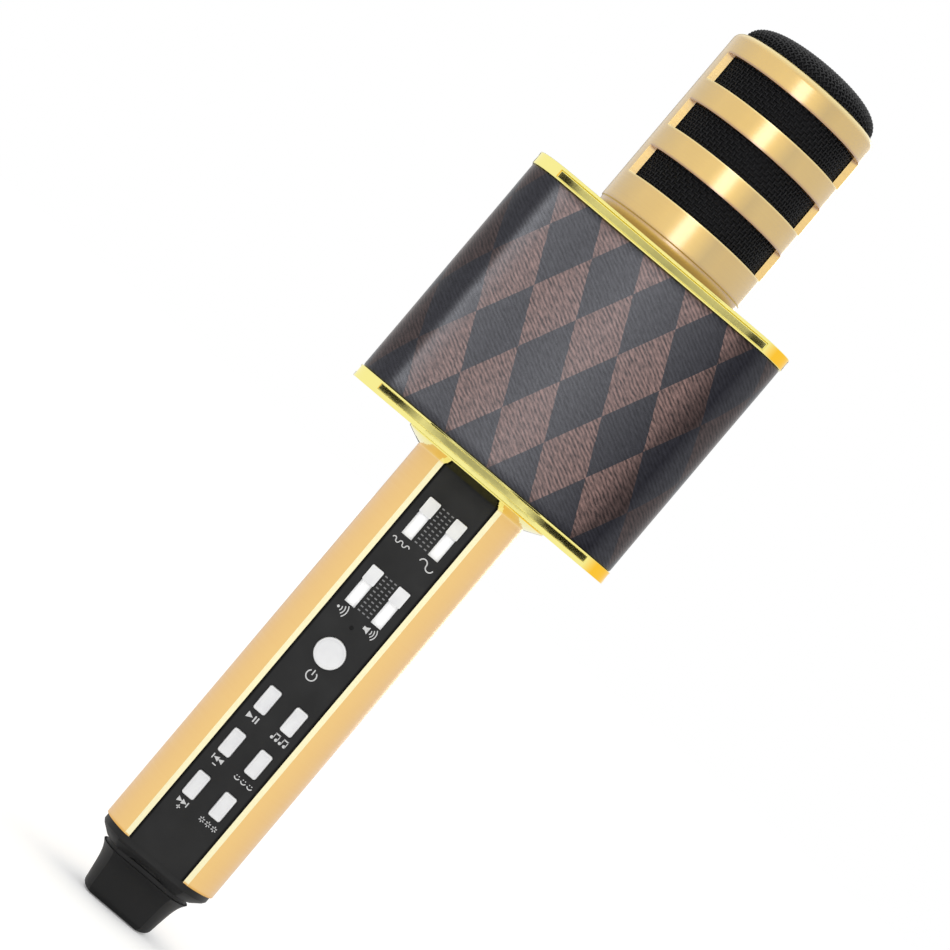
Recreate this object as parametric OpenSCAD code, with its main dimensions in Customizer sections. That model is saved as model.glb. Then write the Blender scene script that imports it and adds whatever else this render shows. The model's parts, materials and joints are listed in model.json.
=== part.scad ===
// Karaoke microphone with a built-in speaker box.
// +Z runs from the tail to the tip. The control panel faces -Y, the speaker grille faces +Y.
// The origin is the centre of the tail's flat end face.

/* [Handle] */
// Outer radius of the handle tube
handle_r = 16.85; // [16.5:0.05:17.5]
// Wall of the handle tube
handle_wall = 1.5; // [1.2:0.1:1.6]
// Height of the tube's lower end
handle_z0 = 17.7; // [17.2:0.1:18]
// Height of the tube's upper end
handle_z1 = 136.9; // [136.5:0.1:138]
// Half width of the flat cut along the front of the tube
flat_half = 10.05; // [10:0.05:10.4]
// Width of the black control panel
panel_w = 17.3; // [16.8:0.1:17.4]

/* [Speaker box] */
// Width of the box
box_w = 78.8; // [78:0.2:82]
// Depth of the box, front to back
box_d = 58; // [58:1:62]
// Radius of the box's upright corners
box_r = 10; // [9:0.5:10]
// Height of the leather-covered part
wrap_h = 64; // [63:0.2:65]
// Thickness of each gold end plate
plate_t = 3.4; // [3.3:0.1:3.6]
// Radius of each speaker driver
driver_r = 15; // [14:0.5:15]

/* [Head] */
// Outer radius of the slotted head
head_r = 22.1; // [21.8:0.1:22.6]
// Wall of the slotted head
head_wall = 1.9; // [1.7:0.1:2.1]
// Height of the slotted head
head_h = 55.6; // [55:0.1:56]
// Height of the mesh dome above the head's rim
dome_h = 6.7; // [6.5:0.1:8]
// Turn of the slots about the axis, in degrees
head_turn = 6; // [0:1:8]

/* [Controls] */
// Distance of each control column from the centre line
column_x = 4.2; // [4.1:0.05:4.3]
// Length of a slider's slot
slot_len = 11.4; // [11:0.1:11.6]
// Width of a slider's knob
knob_w = 3.5; // [3.3:0.1:3.7]
// Height of a slider's knob
knob_h = 4.5; // [4.3:0.1:4.7]
// Radius of the power button
power_r = 4.05; // [3.8:0.05:4.2]
// Width of a rectangular button
button_w = 3.6; // [3.4:0.1:3.8]
// Height of a rectangular button
button_h = 7.2; // [6.8:0.1:7.6]
// How far the controls stand out of the panel
control_proud = 0.9; // [0.7:0.1:1.1]

/* [Tail] */
// Height of the black tail cap
tail_h = 12.2; // [12:0.1:12.4]
// Radius of the tail cap at its end face
tail_r = 10.25; // [9.9:0.05:10.4]

/* [Hidden] */

eps = 0.01;
gap = 0.05;          // clearance between fitted parts that do not move
move_gap = 0.1;      // clearance around a part that slides
cut = 200;           // size of a cutting block, larger than any part
$fn = 64;

// handle section, measured from the axis towards the front
handle_in_r = handle_r - handle_wall;
flat_y = sqrt(handle_r * handle_r - flat_half * flat_half);
flat_in_y = flat_y - handle_wall;
panel_face = flat_y - 0.35;
panel_t = 2;
panel_joint = 0.3;   // width of the open joint on each side of the panel
panel_back = panel_face - panel_t;
flange_half = flat_half - 0.6;
button_flange_t = 0.6;
board_front = panel_back - 3.1;
board_t = 1.6;
board_back = board_front - board_t;
board_half = 11;
board_z0 = 27;
board_z1 = 133;

// speaker box
collar_h = 2.35;
box_z0 = handle_z1 + collar_h + plate_t;
box_z1 = box_z0 + wrap_h;
plate_z0 = box_z0 - plate_t;
plate_z1 = box_z1 + plate_t;
wrap_inset = 0.4;
wrap_t = 0.8;
shell_inset = wrap_inset + wrap_t;
shell_t = 2.2;
shell_in = shell_inset + shell_t;
shell_back = box_d / 2 - shell_inset;
shell_back_in = box_d / 2 - shell_in;
web_t = 2;
speaker_z = (box_z0 + box_z1) / 2;
speaker_x = driver_r + 0.3;
window_w = 66;
window_h = 50;
window_r = 6;
bezel_w = 2;
amp_back = -12.4;
amp_w = 56;
amp_h = 44;
amp_hole_x = amp_w / 2 - 4;
amp_hole_z = amp_h / 2 - 4;
magnet_z = 7;        // front face of each magnet, measured along Y from the middle of the box
magnet_t = 7;
boss_x = box_w / 2 - 7;
boss_y = box_d / 2 - 7;
screw_r = 1.25;
screw_head_r = 2.6;
neck_screw_circle = 18.2;
neck_insert_z = 128;
neck_flange_t = 3;

// head
head_z0 = plate_z1 + 0.1;
head_z1 = head_z0 + head_h;
head_in_r = head_r - head_wall;
rim_round = 2;
foot_h = 3.2;        // height of the rounded foot under the lowest band
foot_step = 0.3;     // how far the foot stands back
foot_turn = 48;      // how far the foot's rounding turns in, in degrees
foot_round = (foot_h - foot_step) / sin(foot_turn);
slot_y = 5.9;
slot_z = [11.1, 26, 40.8];
slot_h = 8.3;
mesh_r = head_in_r - 0.3;
mesh_t = 0.8;
foam_t = 1.5;
dome_z = head_z1 - 1;
dome_top = head_z1 + dome_h;
dome_fullness = 0.72; // 1 gives an ellipse, less gives fuller shoulders
base_r = head_in_r - 0.1;
base_h = 4;
spigot_r = 12;
nut_t = 4;
capsule_r = 8.25;
capsule_h = 12;
capsule_z = head_z0 + 24;

// controls
slider_tops = [handle_z1 - 8.1, handle_z1 - 29.7];
slot_w = 3.1;
slider_skin = 0.6;
slider_travel = slot_len - knob_h - 0.1;
shield_w = 4;
shield_t = 0.5;
shield_up = 2.4;
shield_down = slider_travel + 0.3;
pot_w = 6.6;
pot_len = 18.6;
pot_front = panel_back - 0.1;
lever_w = 1;
switch_front = panel_back - 1.3;
power_z = 83.5;
lens_z = 91.7;
lens_r = 0.5;
button_rows = [65, 51.5, 38];
board_screw_x = 8.9;
board_screw_z = [31, 76, 130];
battery_r = 9.2;
battery_y = 4.5;
battery_z0 = 37;
battery_len = 65;

// tail
neck_gap = 1.3;
ring_z0 = tail_h + neck_gap;
ring_spigot_z = handle_z0 + 6;
cap_bore_r = 8.6;
cap_floor = 2.4;
cap_spigot_r = 11.3;
tail_screw_z = 21.4;
tail_screw_r = 0.93;
jack_y = 3.9;
jack_r = 1.8;
jack_len = 11;
jack_z0 = 0.6;
usb_y = -2.3;
usb_w = 8.9;
usb_d = 3.2;
io_z = 13;

gold = [0.90, 0.74, 0.42];
mirror_gold = [0.96, 0.86, 0.35];
handle_gold = [0.92, 0.76, 0.52];
panel_black = [0.19, 0.19, 0.19];
part_black = [0.14, 0.14, 0.15];
button_white = [0.92, 0.92, 0.92];
board_green = [0.10, 0.34, 0.20];
steel = [0.70, 0.71, 0.73];

// ---------- helpers ----------

// number of straight pieces that draw a quarter turn of radius r
function arc_steps(r) = max(3, ceil(1.4 * r));

function arc(cx, cy, r, a0, a1, n = 14) =
    [for (i = [0:n]) [cx + r * cos(a0 + (a1 - a0) * i / n), cy + r * sin(a0 + (a1 - a0) * i / n)]];

// rounded rectangle centred on the origin
module round_rect(w, d, r) {
    n = arc_steps(r);
    polygon(concat(
        arc(w / 2 - r, d / 2 - r, r, 0, 90, n), arc(r - w / 2, d / 2 - r, r, 90, 180, n),
        arc(r - w / 2, r - d / 2, r, 180, 270, n), arc(w / 2 - r, r - d / 2, r, 270, 360, n)));
}

// outline of the box, moved inwards
module box_outline(inset) {
    round_rect(box_w - 2 * inset, box_d - 2 * inset, box_r - inset);
}

// circle with its front cut off flat
module d_section(r, flat) {
    difference() {
        circle(r);
        translate([-cut / 2, -cut - flat]) square([cut, cut]);
    }
}

// block from z0 to z1 that removes everything in front of a given depth
module front_cut(depth, z0, z1) {
    translate([-cut / 2, -cut - depth, z0]) cube([cut, cut, z1 - z0]);
}

// extrudes a shape drawn in X and Z along Y, from y0 to y1
module along_y(y0, y1) {
    translate([0, y1, 0]) rotate([90, 0, 0]) linear_extrude(y1 - y0) children();
}

// turns a shape built along +Z so that it points along +Y at the given X and Z
module facing_back(x, z) {
    translate([x, 0, z]) rotate([-90, 0, 0]) children();
}

// cylinder along Y at the given X and Z
module y_rod(x, z, r, y0, y1) {
    facing_back(x, z) translate([0, 0, y0]) cylinder(r = r, h = y1 - y0);
}

// point at t on a cubic curve from a to d, pulled towards b and c
function curve_point(a, b, c, d, t) =
    pow(1 - t, 3) * a + 3 * t * pow(1 - t, 2) * b + 3 * t * t * (1 - t) * c + t * t * t * d;

// direction of that curve at t
function curve_slope(a, b, c, d, t) =
    pow(1 - t, 2) * (b - a) + 2 * t * (1 - t) * (c - b) + t * t * (d - c);

// flexible lead of radius r along that curve; it never runs straight along X
module lead(a, b, c, d, r, steps = 14, sides = 8) {
    points = [for (i = [0:steps]) let (
            t = i / steps,
            slope = curve_slope(a, b, c, d, t),
            u = cross(slope, [1, 0, 0]),
            v = cross(slope, u))
        for (k = [0:sides - 1])
            curve_point(a, b, c, d, t)
                + r * (cos(360 * k / sides) * u / norm(u) + sin(360 * k / sides) * v / norm(v))];
    walls = [for (i = [0:steps - 1], k = [0:sides - 1]) let (n = (k + 1) % sides)
        [i * sides + n, i * sides + k, (i + 1) * sides + k, (i + 1) * sides + n]];
    ends = [[for (k = [0:sides - 1]) k], [for (k = [sides - 1:-1:0]) steps * sides + k]];
    polyhedron(points, concat(walls, ends));
}

// ---------- head ----------

// slotted gold sleeve, open on the front and on the back
module head_cage() {
    color(gold) difference() {
        rotate_extrude($fn = 96) polygon(concat(
            [[head_in_r, head_z0]],
            arc(head_r - foot_step - foot_round, head_z0 + foot_h - foot_step, foot_round, -foot_turn, 0, 8),
            [[head_r, head_z0 + foot_h]],
            arc(head_r - rim_round, head_z1 - rim_round, rim_round, 0, 90, 8),
            [[head_in_r, head_z1]]));
        rotate(head_turn) for (z = slot_z, side = [-1, 1])
            translate([0, side * (slot_y + cut / 2), head_z0 + z + slot_h / 2])
                cube([cut, cut, slot_h], center = true);
    }
}

// profile of a dome with full shoulders: radius r at dome_z, closed at the top
function dome_outline(r, top, steps = 20) =
    [for (i = [0:steps]) let (a = 90 * i / steps)
        [r * pow(cos(a), dome_fullness), dome_z + (top - dome_z) * pow(sin(a), dome_fullness)]];

// cup with that dome as its end and a wall t thick
module domed_cup(r, z0, top, t) {
    difference() {
        rotate_extrude($fn = 96) polygon(concat([[0, z0], [r, z0]], dome_outline(r, top)));
        rotate_extrude($fn = 96)
            polygon(concat([[0, z0 - 1], [r - t, z0 - 1]], dome_outline(r - t, top - t)));
    }
}

// woven wire basket, drawn as a closed skin
module mesh_basket() {
    color(part_black) domed_cup(mesh_r, head_z0 + base_h + gap, dome_top, mesh_t);
}

// wind foam inside the basket
module foam_liner() {
    color([0.1, 0.1, 0.1])
        domed_cup(mesh_r - mesh_t - 0.1, head_z0 + base_h + gap, dome_top - mesh_t - 0.1, foam_t);
}

// microphone element
module mic_capsule() {
    color(steel) difference() {
        translate([0, 0, capsule_z]) cylinder(r = capsule_r, h = capsule_h);
        translate([0, 0, capsule_z + capsule_h - 1]) cylinder(r = capsule_r - 1.5, h = 2);
    }
}

// rubber cup that carries the element on top of the base's post
module capsule_mount() {
    color([0.2, 0.2, 0.2]) difference() {
        translate([0, 0, capsule_z - 3]) cylinder(r = capsule_r + 2.5, h = 11);
        translate([0, 0, capsule_z]) cylinder(r = capsule_r + gap, h = 20);
        translate([0, 0, capsule_z - 4]) cylinder(r = 3, h = 10);
    }
}

// plastic base of the head: flange, post for the element, spigot through the top plate
module head_base() {
    color(part_black) difference() {
        union() {
            translate([0, 0, plate_z1]) cylinder(r = base_r, h = base_h, $fn = 96);
            translate([0, 0, plate_z1]) cylinder(r = capsule_r + 2.5, h = capsule_z - 3 - gap - plate_z1);
            translate([0, 0, box_z1 - web_t - nut_t]) cylinder(r = spigot_r, h = plate_t + web_t + nut_t + 1);
        }
        translate([0, 0, box_z1 - 10]) cylinder(r = 7, h = 60);
    }
}

// ring nut that clamps the base, the top plate and the shell together
module head_nut() {
    color(steel) translate([0, 0, box_z1 - web_t - nut_t]) difference() {
        cylinder(r = 16, h = nut_t - gap);
        translate([0, 0, -1]) cylinder(r = spigot_r + gap, h = nut_t + 2);
        for (a = [0:60:300]) rotate(a) translate([16, 0, 2]) cube([3, 4, 6], center = true);
    }
}

// ---------- speaker box ----------

// decorative channel around the edge of a plate, leaving each corner at full height
module edge_channel(z0, z1) {
    channel_depth = 1.6;
    for (side = [-1, 1]) {
        translate([0, side * box_d / 2, (z0 + z1) / 2])
            cube([box_w - 14, 2 * channel_depth, z1 - z0], center = true);
        translate([side * box_w / 2, 0, (z0 + z1) / 2])
            cube([2 * channel_depth, box_d - 16, z1 - z0], center = true);
    }
}

// mirror-finished plate that closes one end of the box, with a round hole in the middle
module end_plate(z0, hole_r) {
    translate([0, 0, z0]) linear_extrude(plate_t) difference() {
        box_outline(0);
        circle(hole_r);
    }
}

module top_plate() {
    color(mirror_gold) difference() {
        end_plate(box_z1, spigot_r + gap);
        edge_channel(box_z1 + 0.5, box_z1 + plate_t - 0.8);
    }
}

module bottom_plate() {
    color(mirror_gold) difference() {
        end_plate(plate_z0, handle_in_r);
        edge_channel(plate_z0 + 1.2, box_z0 - 0.5);
        for (x = [-1, 1], y = [-1, 1]) translate([x * boss_x, y * boss_y, plate_z0]) {
            translate([0, 0, -1]) cylinder(r = screw_r + 0.3, h = plate_t + 2, $fn = 32);
            translate([0, 0, -eps]) cylinder(r1 = screw_head_r + 0.2, r2 = screw_r + 0.15, h = 1.6, $fn = 32);
        }
        for (a = [45:90:315]) rotate(a) translate([neck_screw_circle, 0, plate_z0 + 1])
            cylinder(r = 0.9, h = plate_t, $fn = 32);
    }
}

// four screws that hold the bottom plate to the shell
module plate_screws() {
    color(steel) for (x = [-1, 1], y = [-1, 1]) translate([x * boss_x, y * boss_y, plate_z0 + 0.1])
        difference() {
            union() {
                cylinder(r = screw_r - 0.02, h = 13, $fn = 32);
                cylinder(r1 = screw_head_r, r2 = screw_r, h = 1.45, $fn = 32);
            }
            for (a = [0, 90]) rotate(a) cube([screw_head_r, 0.6, 1.4], center = true);
        }
}

// black plastic sleeve of the box, closed at the top by a web
module box_shell() {
    color(part_black) difference() {
        union() {
            translate([0, 0, box_z0]) linear_extrude(wrap_h) difference() {
                box_outline(shell_inset);
                box_outline(shell_in);
            }
            translate([0, 0, box_z1 - web_t]) linear_extrude(web_t) box_outline(shell_inset + 0.5);
            for (x = [-1, 1], y = [-1, 1]) translate([x * boss_x, y * boss_y, box_z0])
                cylinder(r = 3.4, h = 16, $fn = 32);
            for (x = [-1, 1], z = [-1, 1])
                y_rod(x * amp_hole_x, speaker_z + z * amp_hole_z, 2.8,
                    -shell_back + 0.5, amp_back - board_t);
        }
        translate([0, 0, box_z1 - 5]) cylinder(r = spigot_r + gap, h = 10);
        for (x = [-1, 1]) y_rod(x * speaker_x, speaker_z, driver_r - 2.3, 0, cut / 2);
        for (x = [-1, 1], y = [-1, 1]) translate([x * boss_x, y * boss_y, box_z0 - 1])
            cylinder(r = screw_r, h = 14, $fn = 32);
        for (x = [-1, 1], z = [-1, 1])
            y_rod(x * amp_hole_x, speaker_z + z * amp_hole_z, 1, -22, 0);
    }
}

// leather sheet around the shell, open at the back for the grille
module leather_wrap() {
    color([0.36, 0.31, 0.31]) difference() {
        translate([0, 0, box_z0]) linear_extrude(wrap_h) difference() {
            box_outline(wrap_inset);
            box_outline(shell_inset);
        }
        translate([0, 0, speaker_z]) along_y(0, cut / 2)
            round_rect(window_w + 2 * gap, window_h + 2 * gap, window_r + gap);
    }
}

// gold frame that holds the grille against the shell
module grille_bezel() {
    lip_t = 0.4;
    color(mirror_gold) translate([0, 0, speaker_z]) {
        along_y(shell_back, box_d / 2 - lip_t) difference() {
            round_rect(window_w, window_h, window_r);
            round_rect(window_w - 2 * bezel_w, window_h - 2 * bezel_w, window_r - bezel_w);
        }
        along_y(box_d / 2 - lip_t - eps, box_d / 2) difference() {
            round_rect(window_w, window_h, window_r);
            round_rect(window_w - 3 * bezel_w, window_h - 3 * bezel_w, window_r - 1.5 * bezel_w);
        }
    }
}

// punched steel grille
module speaker_grille() {
    pitch = 5.2;
    color([0.12, 0.12, 0.12]) translate([0, 0, speaker_z])
        along_y(shell_back, shell_back + 0.7) difference() {
            round_rect(window_w - 2 * bezel_w - 0.1, window_h - 2 * bezel_w - 0.1, window_r - bezel_w);
            for (row = [-4:4], i = [-5:5 - abs(row % 2)])
                translate([(i + abs(row % 2) / 2) * pitch, row * pitch * sin(60)]) circle(1.7, $fn = 20);
        }
}

// steel frame of each driver: mounting flange and a flared basket
module speaker_baskets() {
    back = magnet_z + magnet_t;
    color(steel) for (x = [-1, 1]) facing_back(x * speaker_x, speaker_z)
        rotate_extrude() polygon([
            [driver_r - 2.4, shell_back_in - gap], [driver_r, shell_back_in - gap],
            [driver_r, shell_back_in - 1.5], [driver_r - 1, shell_back_in - 1.5],
            [10.5, back + 1], [10.5, back + gap], [4, back + gap], [4, back + 1], [9.6, back + 1],
            [driver_r - 2.4, shell_back_in - 1.5]]);
}

module speaker_magnets() {
    color([0.3, 0.3, 0.32]) for (x = [-1, 1]) facing_back(x * speaker_x, speaker_z) {
        translate([0, 0, magnet_z]) cylinder(r = 10, h = magnet_t);
        translate([0, 0, magnet_z + magnet_t]) cylinder(r = 3.4, h = 2.6);
    }
}

// paper cones with their centre caps
module speaker_cones() {
    rim = driver_r - 2.6;
    coil = magnet_z + magnet_t + 3;
    color([0.16, 0.16, 0.17]) for (x = [-1, 1]) facing_back(x * speaker_x, speaker_z)
        rotate_extrude() polygon([
            [rim, shell_back_in - 0.2], [rim, shell_back_in - 0.8], [rim - 1.5, shell_back_in - 0.8],
            [4.6, coil + 1.2], [4.6, coil], [3.9, coil], [3.9, coil + 3.4], [0, coil + 4.6],
            [0, coil + 5.2], [5, coil + 3.6],
            [rim - 1.4, shell_back_in - 0.2]]);
}

// amplifier board, held on the front wall of the shell
module amp_board() {
    color(board_green) difference() {
        translate([-amp_w / 2, amp_back - board_t, speaker_z - amp_h / 2]) cube([amp_w, board_t, amp_h]);
        for (x = [-1, 1], z = [-1, 1])
            y_rod(x * amp_hole_x, speaker_z + z * amp_hole_z, 1.2, -20, 0);
    }
}

module amp_screws() {
    color(steel) for (x = [-1, 1], z = [-1, 1]) {
        y_rod(x * amp_hole_x, speaker_z + z * amp_hole_z, 0.98, -20, amp_back + 0.5);
        y_rod(x * amp_hole_x, speaker_z + z * amp_hole_z, 2.1, amp_back, amp_back + 1.3);
    }
}

// ---------- neck ----------

// bright collar under the box: a flat cone with a short upright rim
module neck_collar() {
    low_r = handle_r + 0.2;
    top_r = 21.5;
    rim = 0.4;
    color(mirror_gold) rotate_extrude($fn = 96) polygon([
        [handle_in_r, handle_z1], [low_r, handle_z1], [top_r, plate_z0 - rim], [top_r, plate_z0],
        [handle_in_r, plate_z0]]);
}

// plastic tube that joins the handle to the box, with a flange inside the box
module neck_insert() {
    bore_r = handle_in_r - 1.6;
    color(part_black) difference() {
        union() {
            translate([0, 0, neck_insert_z]) cylinder(r = handle_in_r - gap, h = box_z0 - neck_insert_z + 1);
            translate([0, 0, box_z0]) cylinder(r = neck_screw_circle + 2.2, h = neck_flange_t);
        }
        translate([0, 0, neck_insert_z - 1]) cylinder(r = bore_r, h = 40);
        front_cut(6, neck_insert_z - 1, handle_z1);
        for (a = [45:90:315]) rotate(a) translate([neck_screw_circle, 0, box_z0 - 1])
            cylinder(r = 1.1, h = 6, $fn = 32);
    }
}

module neck_screws() {
    color(steel) for (a = [45:90:315]) rotate(a) translate([neck_screw_circle, 0, 0]) {
        translate([0, 0, plate_z0 + 1.2]) cylinder(r = 0.88, h = plate_t + 3, $fn = 32);
        translate([0, 0, box_z0 + neck_flange_t]) cylinder(r = 1.8, h = 1.2, $fn = 32);
    }
}

// ---------- handle ----------

// gold tube with a flat front, open along the flat for the panel
module handle_tube() {
    color(handle_gold) difference() {
        translate([0, 0, handle_z0]) linear_extrude(handle_z1 - handle_z0) difference() {
            d_section(handle_r, flat_y);
            d_section(handle_in_r, flat_in_y);
            translate([-panel_w / 2, -cut / 2]) square([panel_w, cut / 2]);
        }
        facing_back(0, tail_screw_z) translate([0, 0, handle_in_r - 2]) cylinder(r = 1.3, h = 10, $fn = 32);
        facing_back(0, tail_screw_z) translate([0, 0, handle_r - 0.9])
            cylinder(r1 = 1.2, r2 = 2.3, h = 1.1, $fn = 32);
    }
}

// openings through the panel for one slider: the slot, and room behind it for the shield
module slider_opening(x, top) {
    translate([x - slot_w / 2, -panel_face - 1, top - slot_len]) cube([slot_w, 4, slot_len]);
    translate([x - shield_w / 2 - move_gap, -panel_face + slider_skin, top - slot_len - shield_down - 0.2])
        cube([shield_w + 2 * move_gap, 4, slot_len + shield_down + shield_up + 0.4]);
}

// black strip along the front that carries every control
module control_panel() {
    color(panel_black) difference() {
        union() {
            translate([0, 0, handle_z0]) linear_extrude(handle_z1 - handle_z0) {
                translate([-panel_w / 2 + panel_joint, -panel_face])
                    square([panel_w - 2 * panel_joint, panel_t]);
                translate([-flange_half, -flat_in_y + gap])
                    square([2 * flange_half, flat_in_y - gap - panel_back]);
            }
            for (x = [-1, 1], z = board_screw_z)
                y_rod(x * board_screw_x, z, 1.1, -panel_back - eps, -board_front);
        }
        for (x = [-1, 1], top = slider_tops) slider_opening(x * column_x, top);
        for (x = [-1, 1], z = button_rows)
            translate([0, 0, z]) along_y(-panel_face - 1, 0) translate([x * column_x, 0])
                round_rect(button_w + 2 * move_gap, button_h + 2 * move_gap, 0.6);
        y_rod(0, power_z, power_r + move_gap, -panel_face - 1, 0);
        y_rod(0, lens_z, lens_r + gap, -panel_face - 1, 0);
        for (x = [-1, 1], z = board_screw_z)
            y_rod(x * board_screw_x, z, 0.7, -panel_back - 0.6, -board_front + 1);
    }
}

module main_board() {
    color(board_green) difference() {
        translate([-board_half, -board_front, board_z0])
            cube([2 * board_half, board_t, board_z1 - board_z0]);
        for (x = [-1, 1], z = board_screw_z)
            y_rod(x * board_screw_x, z, 0.8, -board_front - 1, -board_back + 1);
    }
}

module board_screws() {
    color(steel) for (x = [-1, 1], z = board_screw_z) {
        y_rod(x * board_screw_x, z, 0.68, -board_front - 2.2, -board_back + 0.3);
        y_rod(x * board_screw_x, z, 1.3, -board_back, -board_back + 0.9);
    }
}

// chips, capacitors and the lamp under the indicator lens
module board_components() {
    color([0.08, 0.08, 0.09]) {
        translate([-5, -board_back + gap, 111]) cube([7, 1.2, 7]);
        translate([-5, -board_back + gap, 29]) cube([6, 1.2, 6]);
        translate([-0.8, -board_front - 0.8 - gap, lens_z - 0.5]) cube([1.6, 0.8, 1]);
        translate([-12, amp_back + gap, speaker_z - 6]) cube([10, 2, 10]);
    }
    color([0.2, 0.25, 0.5]) for (x = [-14, 14])
        y_rod(x, speaker_z - 15, 4, amp_back + gap, amp_back + 11);
}

// slide potentiometers behind the four slots
module slide_pots() {
    color([0.55, 0.55, 0.58]) for (x = [-1, 1], top = slider_tops) difference() {
        translate([x * column_x - pot_w / 2, -pot_front, top - slot_len / 2 - pot_len / 2])
            cube([pot_w, pot_front - board_front, pot_len]);
        translate([x * column_x - lever_w / 2 - 0.2, -pot_front - 1, top - slot_len - 0.4])
            cube([lever_w + 0.4, 3.3, slot_len + 0.8]);
    }
}

// push switches under the seven buttons
module tact_switches() {
    color([0.25, 0.25, 0.27])
        for (p = concat([for (x = [-1, 1], z = button_rows) [x * column_x, z]], [[0, power_z]]))
            difference() {
                translate([p.x - 3, -switch_front, p.y - 3]) cube([6, switch_front - board_front, 6]);
                y_rod(p.x, p.y, 1.65, -switch_front - 1, -switch_front + 1.5);
            }
}

module indicator_lens() {
    color([0.3, 0.3, 0.32]) {
        y_rod(0, lens_z, lens_r, -panel_face, -panel_back + 0.5);
        y_rod(0, lens_z, 0.9, -panel_back + gap, -panel_back + 0.6);
    }
}

// ---------- controls that move ----------

// slider knob with its shield behind the slot and the lever into the potentiometer
module slider_knob(x, top) {
    knob_z = top - knob_h - 0.05;
    mid_z = knob_z + knob_h / 2;
    color(button_white) {
        translate([0, 0, mid_z]) along_y(-panel_face - control_proud, -panel_face - move_gap)
            translate([x, 0]) round_rect(knob_w, knob_h, 0.3);
        translate([x - slot_w / 2 + move_gap, -panel_face - move_gap - eps, knob_z])
            cube([slot_w - 2 * move_gap, slider_skin + 2 * move_gap + 2 * eps, knob_h]);
        translate([x - shield_w / 2, -panel_face + slider_skin + move_gap, knob_z - shield_down])
            cube([shield_w, shield_t, shield_down + knob_h + shield_up]);
        translate([x - lever_w / 2, -panel_face + slider_skin + move_gap + shield_t - eps, mid_z - 1])
            cube([lever_w, 2.6, 2]);
    }
}

module treble_knob() slider_knob(-column_x, slider_tops[0]);
module bass_knob() slider_knob(column_x, slider_tops[0]);
module echo_knob() slider_knob(-column_x, slider_tops[1]);
module volume_knob() slider_knob(column_x, slider_tops[1]);

// round plunger under a button, reaching into its switch
module plunger(x, z) {
    y_rod(x, z, 1.5, -panel_back + move_gap, -panel_back + 2.1);
}

module power_button() {
    color(button_white) {
        y_rod(0, power_z, power_r, -panel_face - control_proud, -panel_back + 0.2);
        y_rod(0, power_z, power_r + 0.6, -panel_back + move_gap, -panel_back + move_gap + button_flange_t);
        plunger(0, power_z);
    }
}

module push_button(x, z) {
    color(button_white) {
        translate([0, 0, z]) {
            along_y(-panel_face - control_proud, -panel_back + 0.2)
                translate([x, 0]) round_rect(button_w, button_h, 0.5);
            along_y(-panel_back + move_gap, -panel_back + move_gap + button_flange_t)
                translate([x, 0]) round_rect(button_w + 1.2, button_h + 1.2, 0.5);
        }
        plunger(x, z);
    }
}

module play_button() push_button(-column_x, button_rows[0]);
module previous_button() push_button(-column_x, button_rows[1]);
module next_button() push_button(-column_x, button_rows[2]);
module music_button() push_button(column_x, button_rows[0]);
module laughter_button() push_button(column_x, button_rows[1]);
module cheer_button() push_button(column_x, button_rows[2]);

// ---------- power and wiring ----------

module battery_cell() {
    color([0.18, 0.42, 0.66]) translate([0, battery_y, battery_z0]) {
        cylinder(r = battery_r, h = battery_len);
        translate([0, 0, battery_len - eps]) cylinder(r = 3, h = 1);
    }
}

// open trough with an end wall at each end
module battery_holder() {
    wall = 1.2;
    color(part_black) difference() {
        translate([0, battery_y, battery_z0 - 3]) cylinder(r = battery_r + gap + wall, h = battery_len + 7.5);
        translate([0, battery_y, battery_z0 - 1.2])
            cylinder(r = battery_r + gap, h = battery_len + 3.9);
        front_cut(-2, 0, cut);
    }
}

// sprung plates at both ends of the cell
module battery_contacts() {
    color(steel) translate([0, battery_y, 0]) {
        translate([-4, -4, battery_z0 - 0.9]) cube([8, 8, 0.4]);
        translate([0, 0, battery_z0 - 0.5 - eps]) cylinder(r = 2.5, h = 0.5);
        translate([-4, -4, battery_z0 + battery_len + 1.1]) cube([8, 8, 0.4]);
    }
}

// flexible leads between the boards, the cell, the drivers and the element
module wire_loom() {
    lead_r = 0.7;
    lead_x = 3;
    amp_y = amp_back + lead_r + gap;
    board_y = -board_back + lead_r + gap;
    holder_top = battery_z0 + battery_len + 4.5;
    color([0.75, 0.12, 0.1]) {
        lead([0, 0, capsule_z - 0.5], [0, 0, box_z1 - 10], [lead_x, 0, speaker_z + 16],
            [lead_x, amp_y, speaker_z + 12], lead_r);
        lead([lead_x, board_y, 123], [lead_x, 5, 136], [lead_x, 5, 149],
            [lead_x, amp_y, speaker_z - 14], lead_r);
        for (x = [-1, 1])
            lead([x * 5, amp_y, speaker_z + 6], [x * 4, 0, speaker_z + 10], [x * 4, 8, speaker_z + 10],
                [x * 4.4, 13.3, speaker_z], lead_r);
        lead([lead_x, board_y, 108], [lead_x, 0, 113], [lead_x, battery_y, 113],
            [2, battery_y, holder_top + 0.8], lead_r);
        lead([lead_x, board_y, 30], [lead_x, -1, 29], [lead_x, 2, 25], [lead_x, 2, io_z + 1.3], lead_r);
    }
}

// ---------- tail ----------

// outer radius of the tail cap at height z: a slight taper that flares at the top
function cap_r(z) = tail_r + 0.15 * z + 1.3 * pow(z / tail_h, 7);

// solid of revolution whose flat front follows the same outline, set back by flat_drop
module flattened(outline) {
    flat_drop = handle_r - panel_face;
    z0 = outline[0].y;
    z1 = outline[len(outline) - 1].y;
    intersection() {
        rotate_extrude($fn = 96) polygon(concat([[0, z0]], outline, [[0, z1]]));
        rotate([90, 0, 90]) translate([0, 0, -cut / 2]) linear_extrude(cut)
            polygon(concat([for (p = outline) [flat_drop - p.x, p.y]], [[cut, z1], [cut, z0]]));
    }
}

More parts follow.
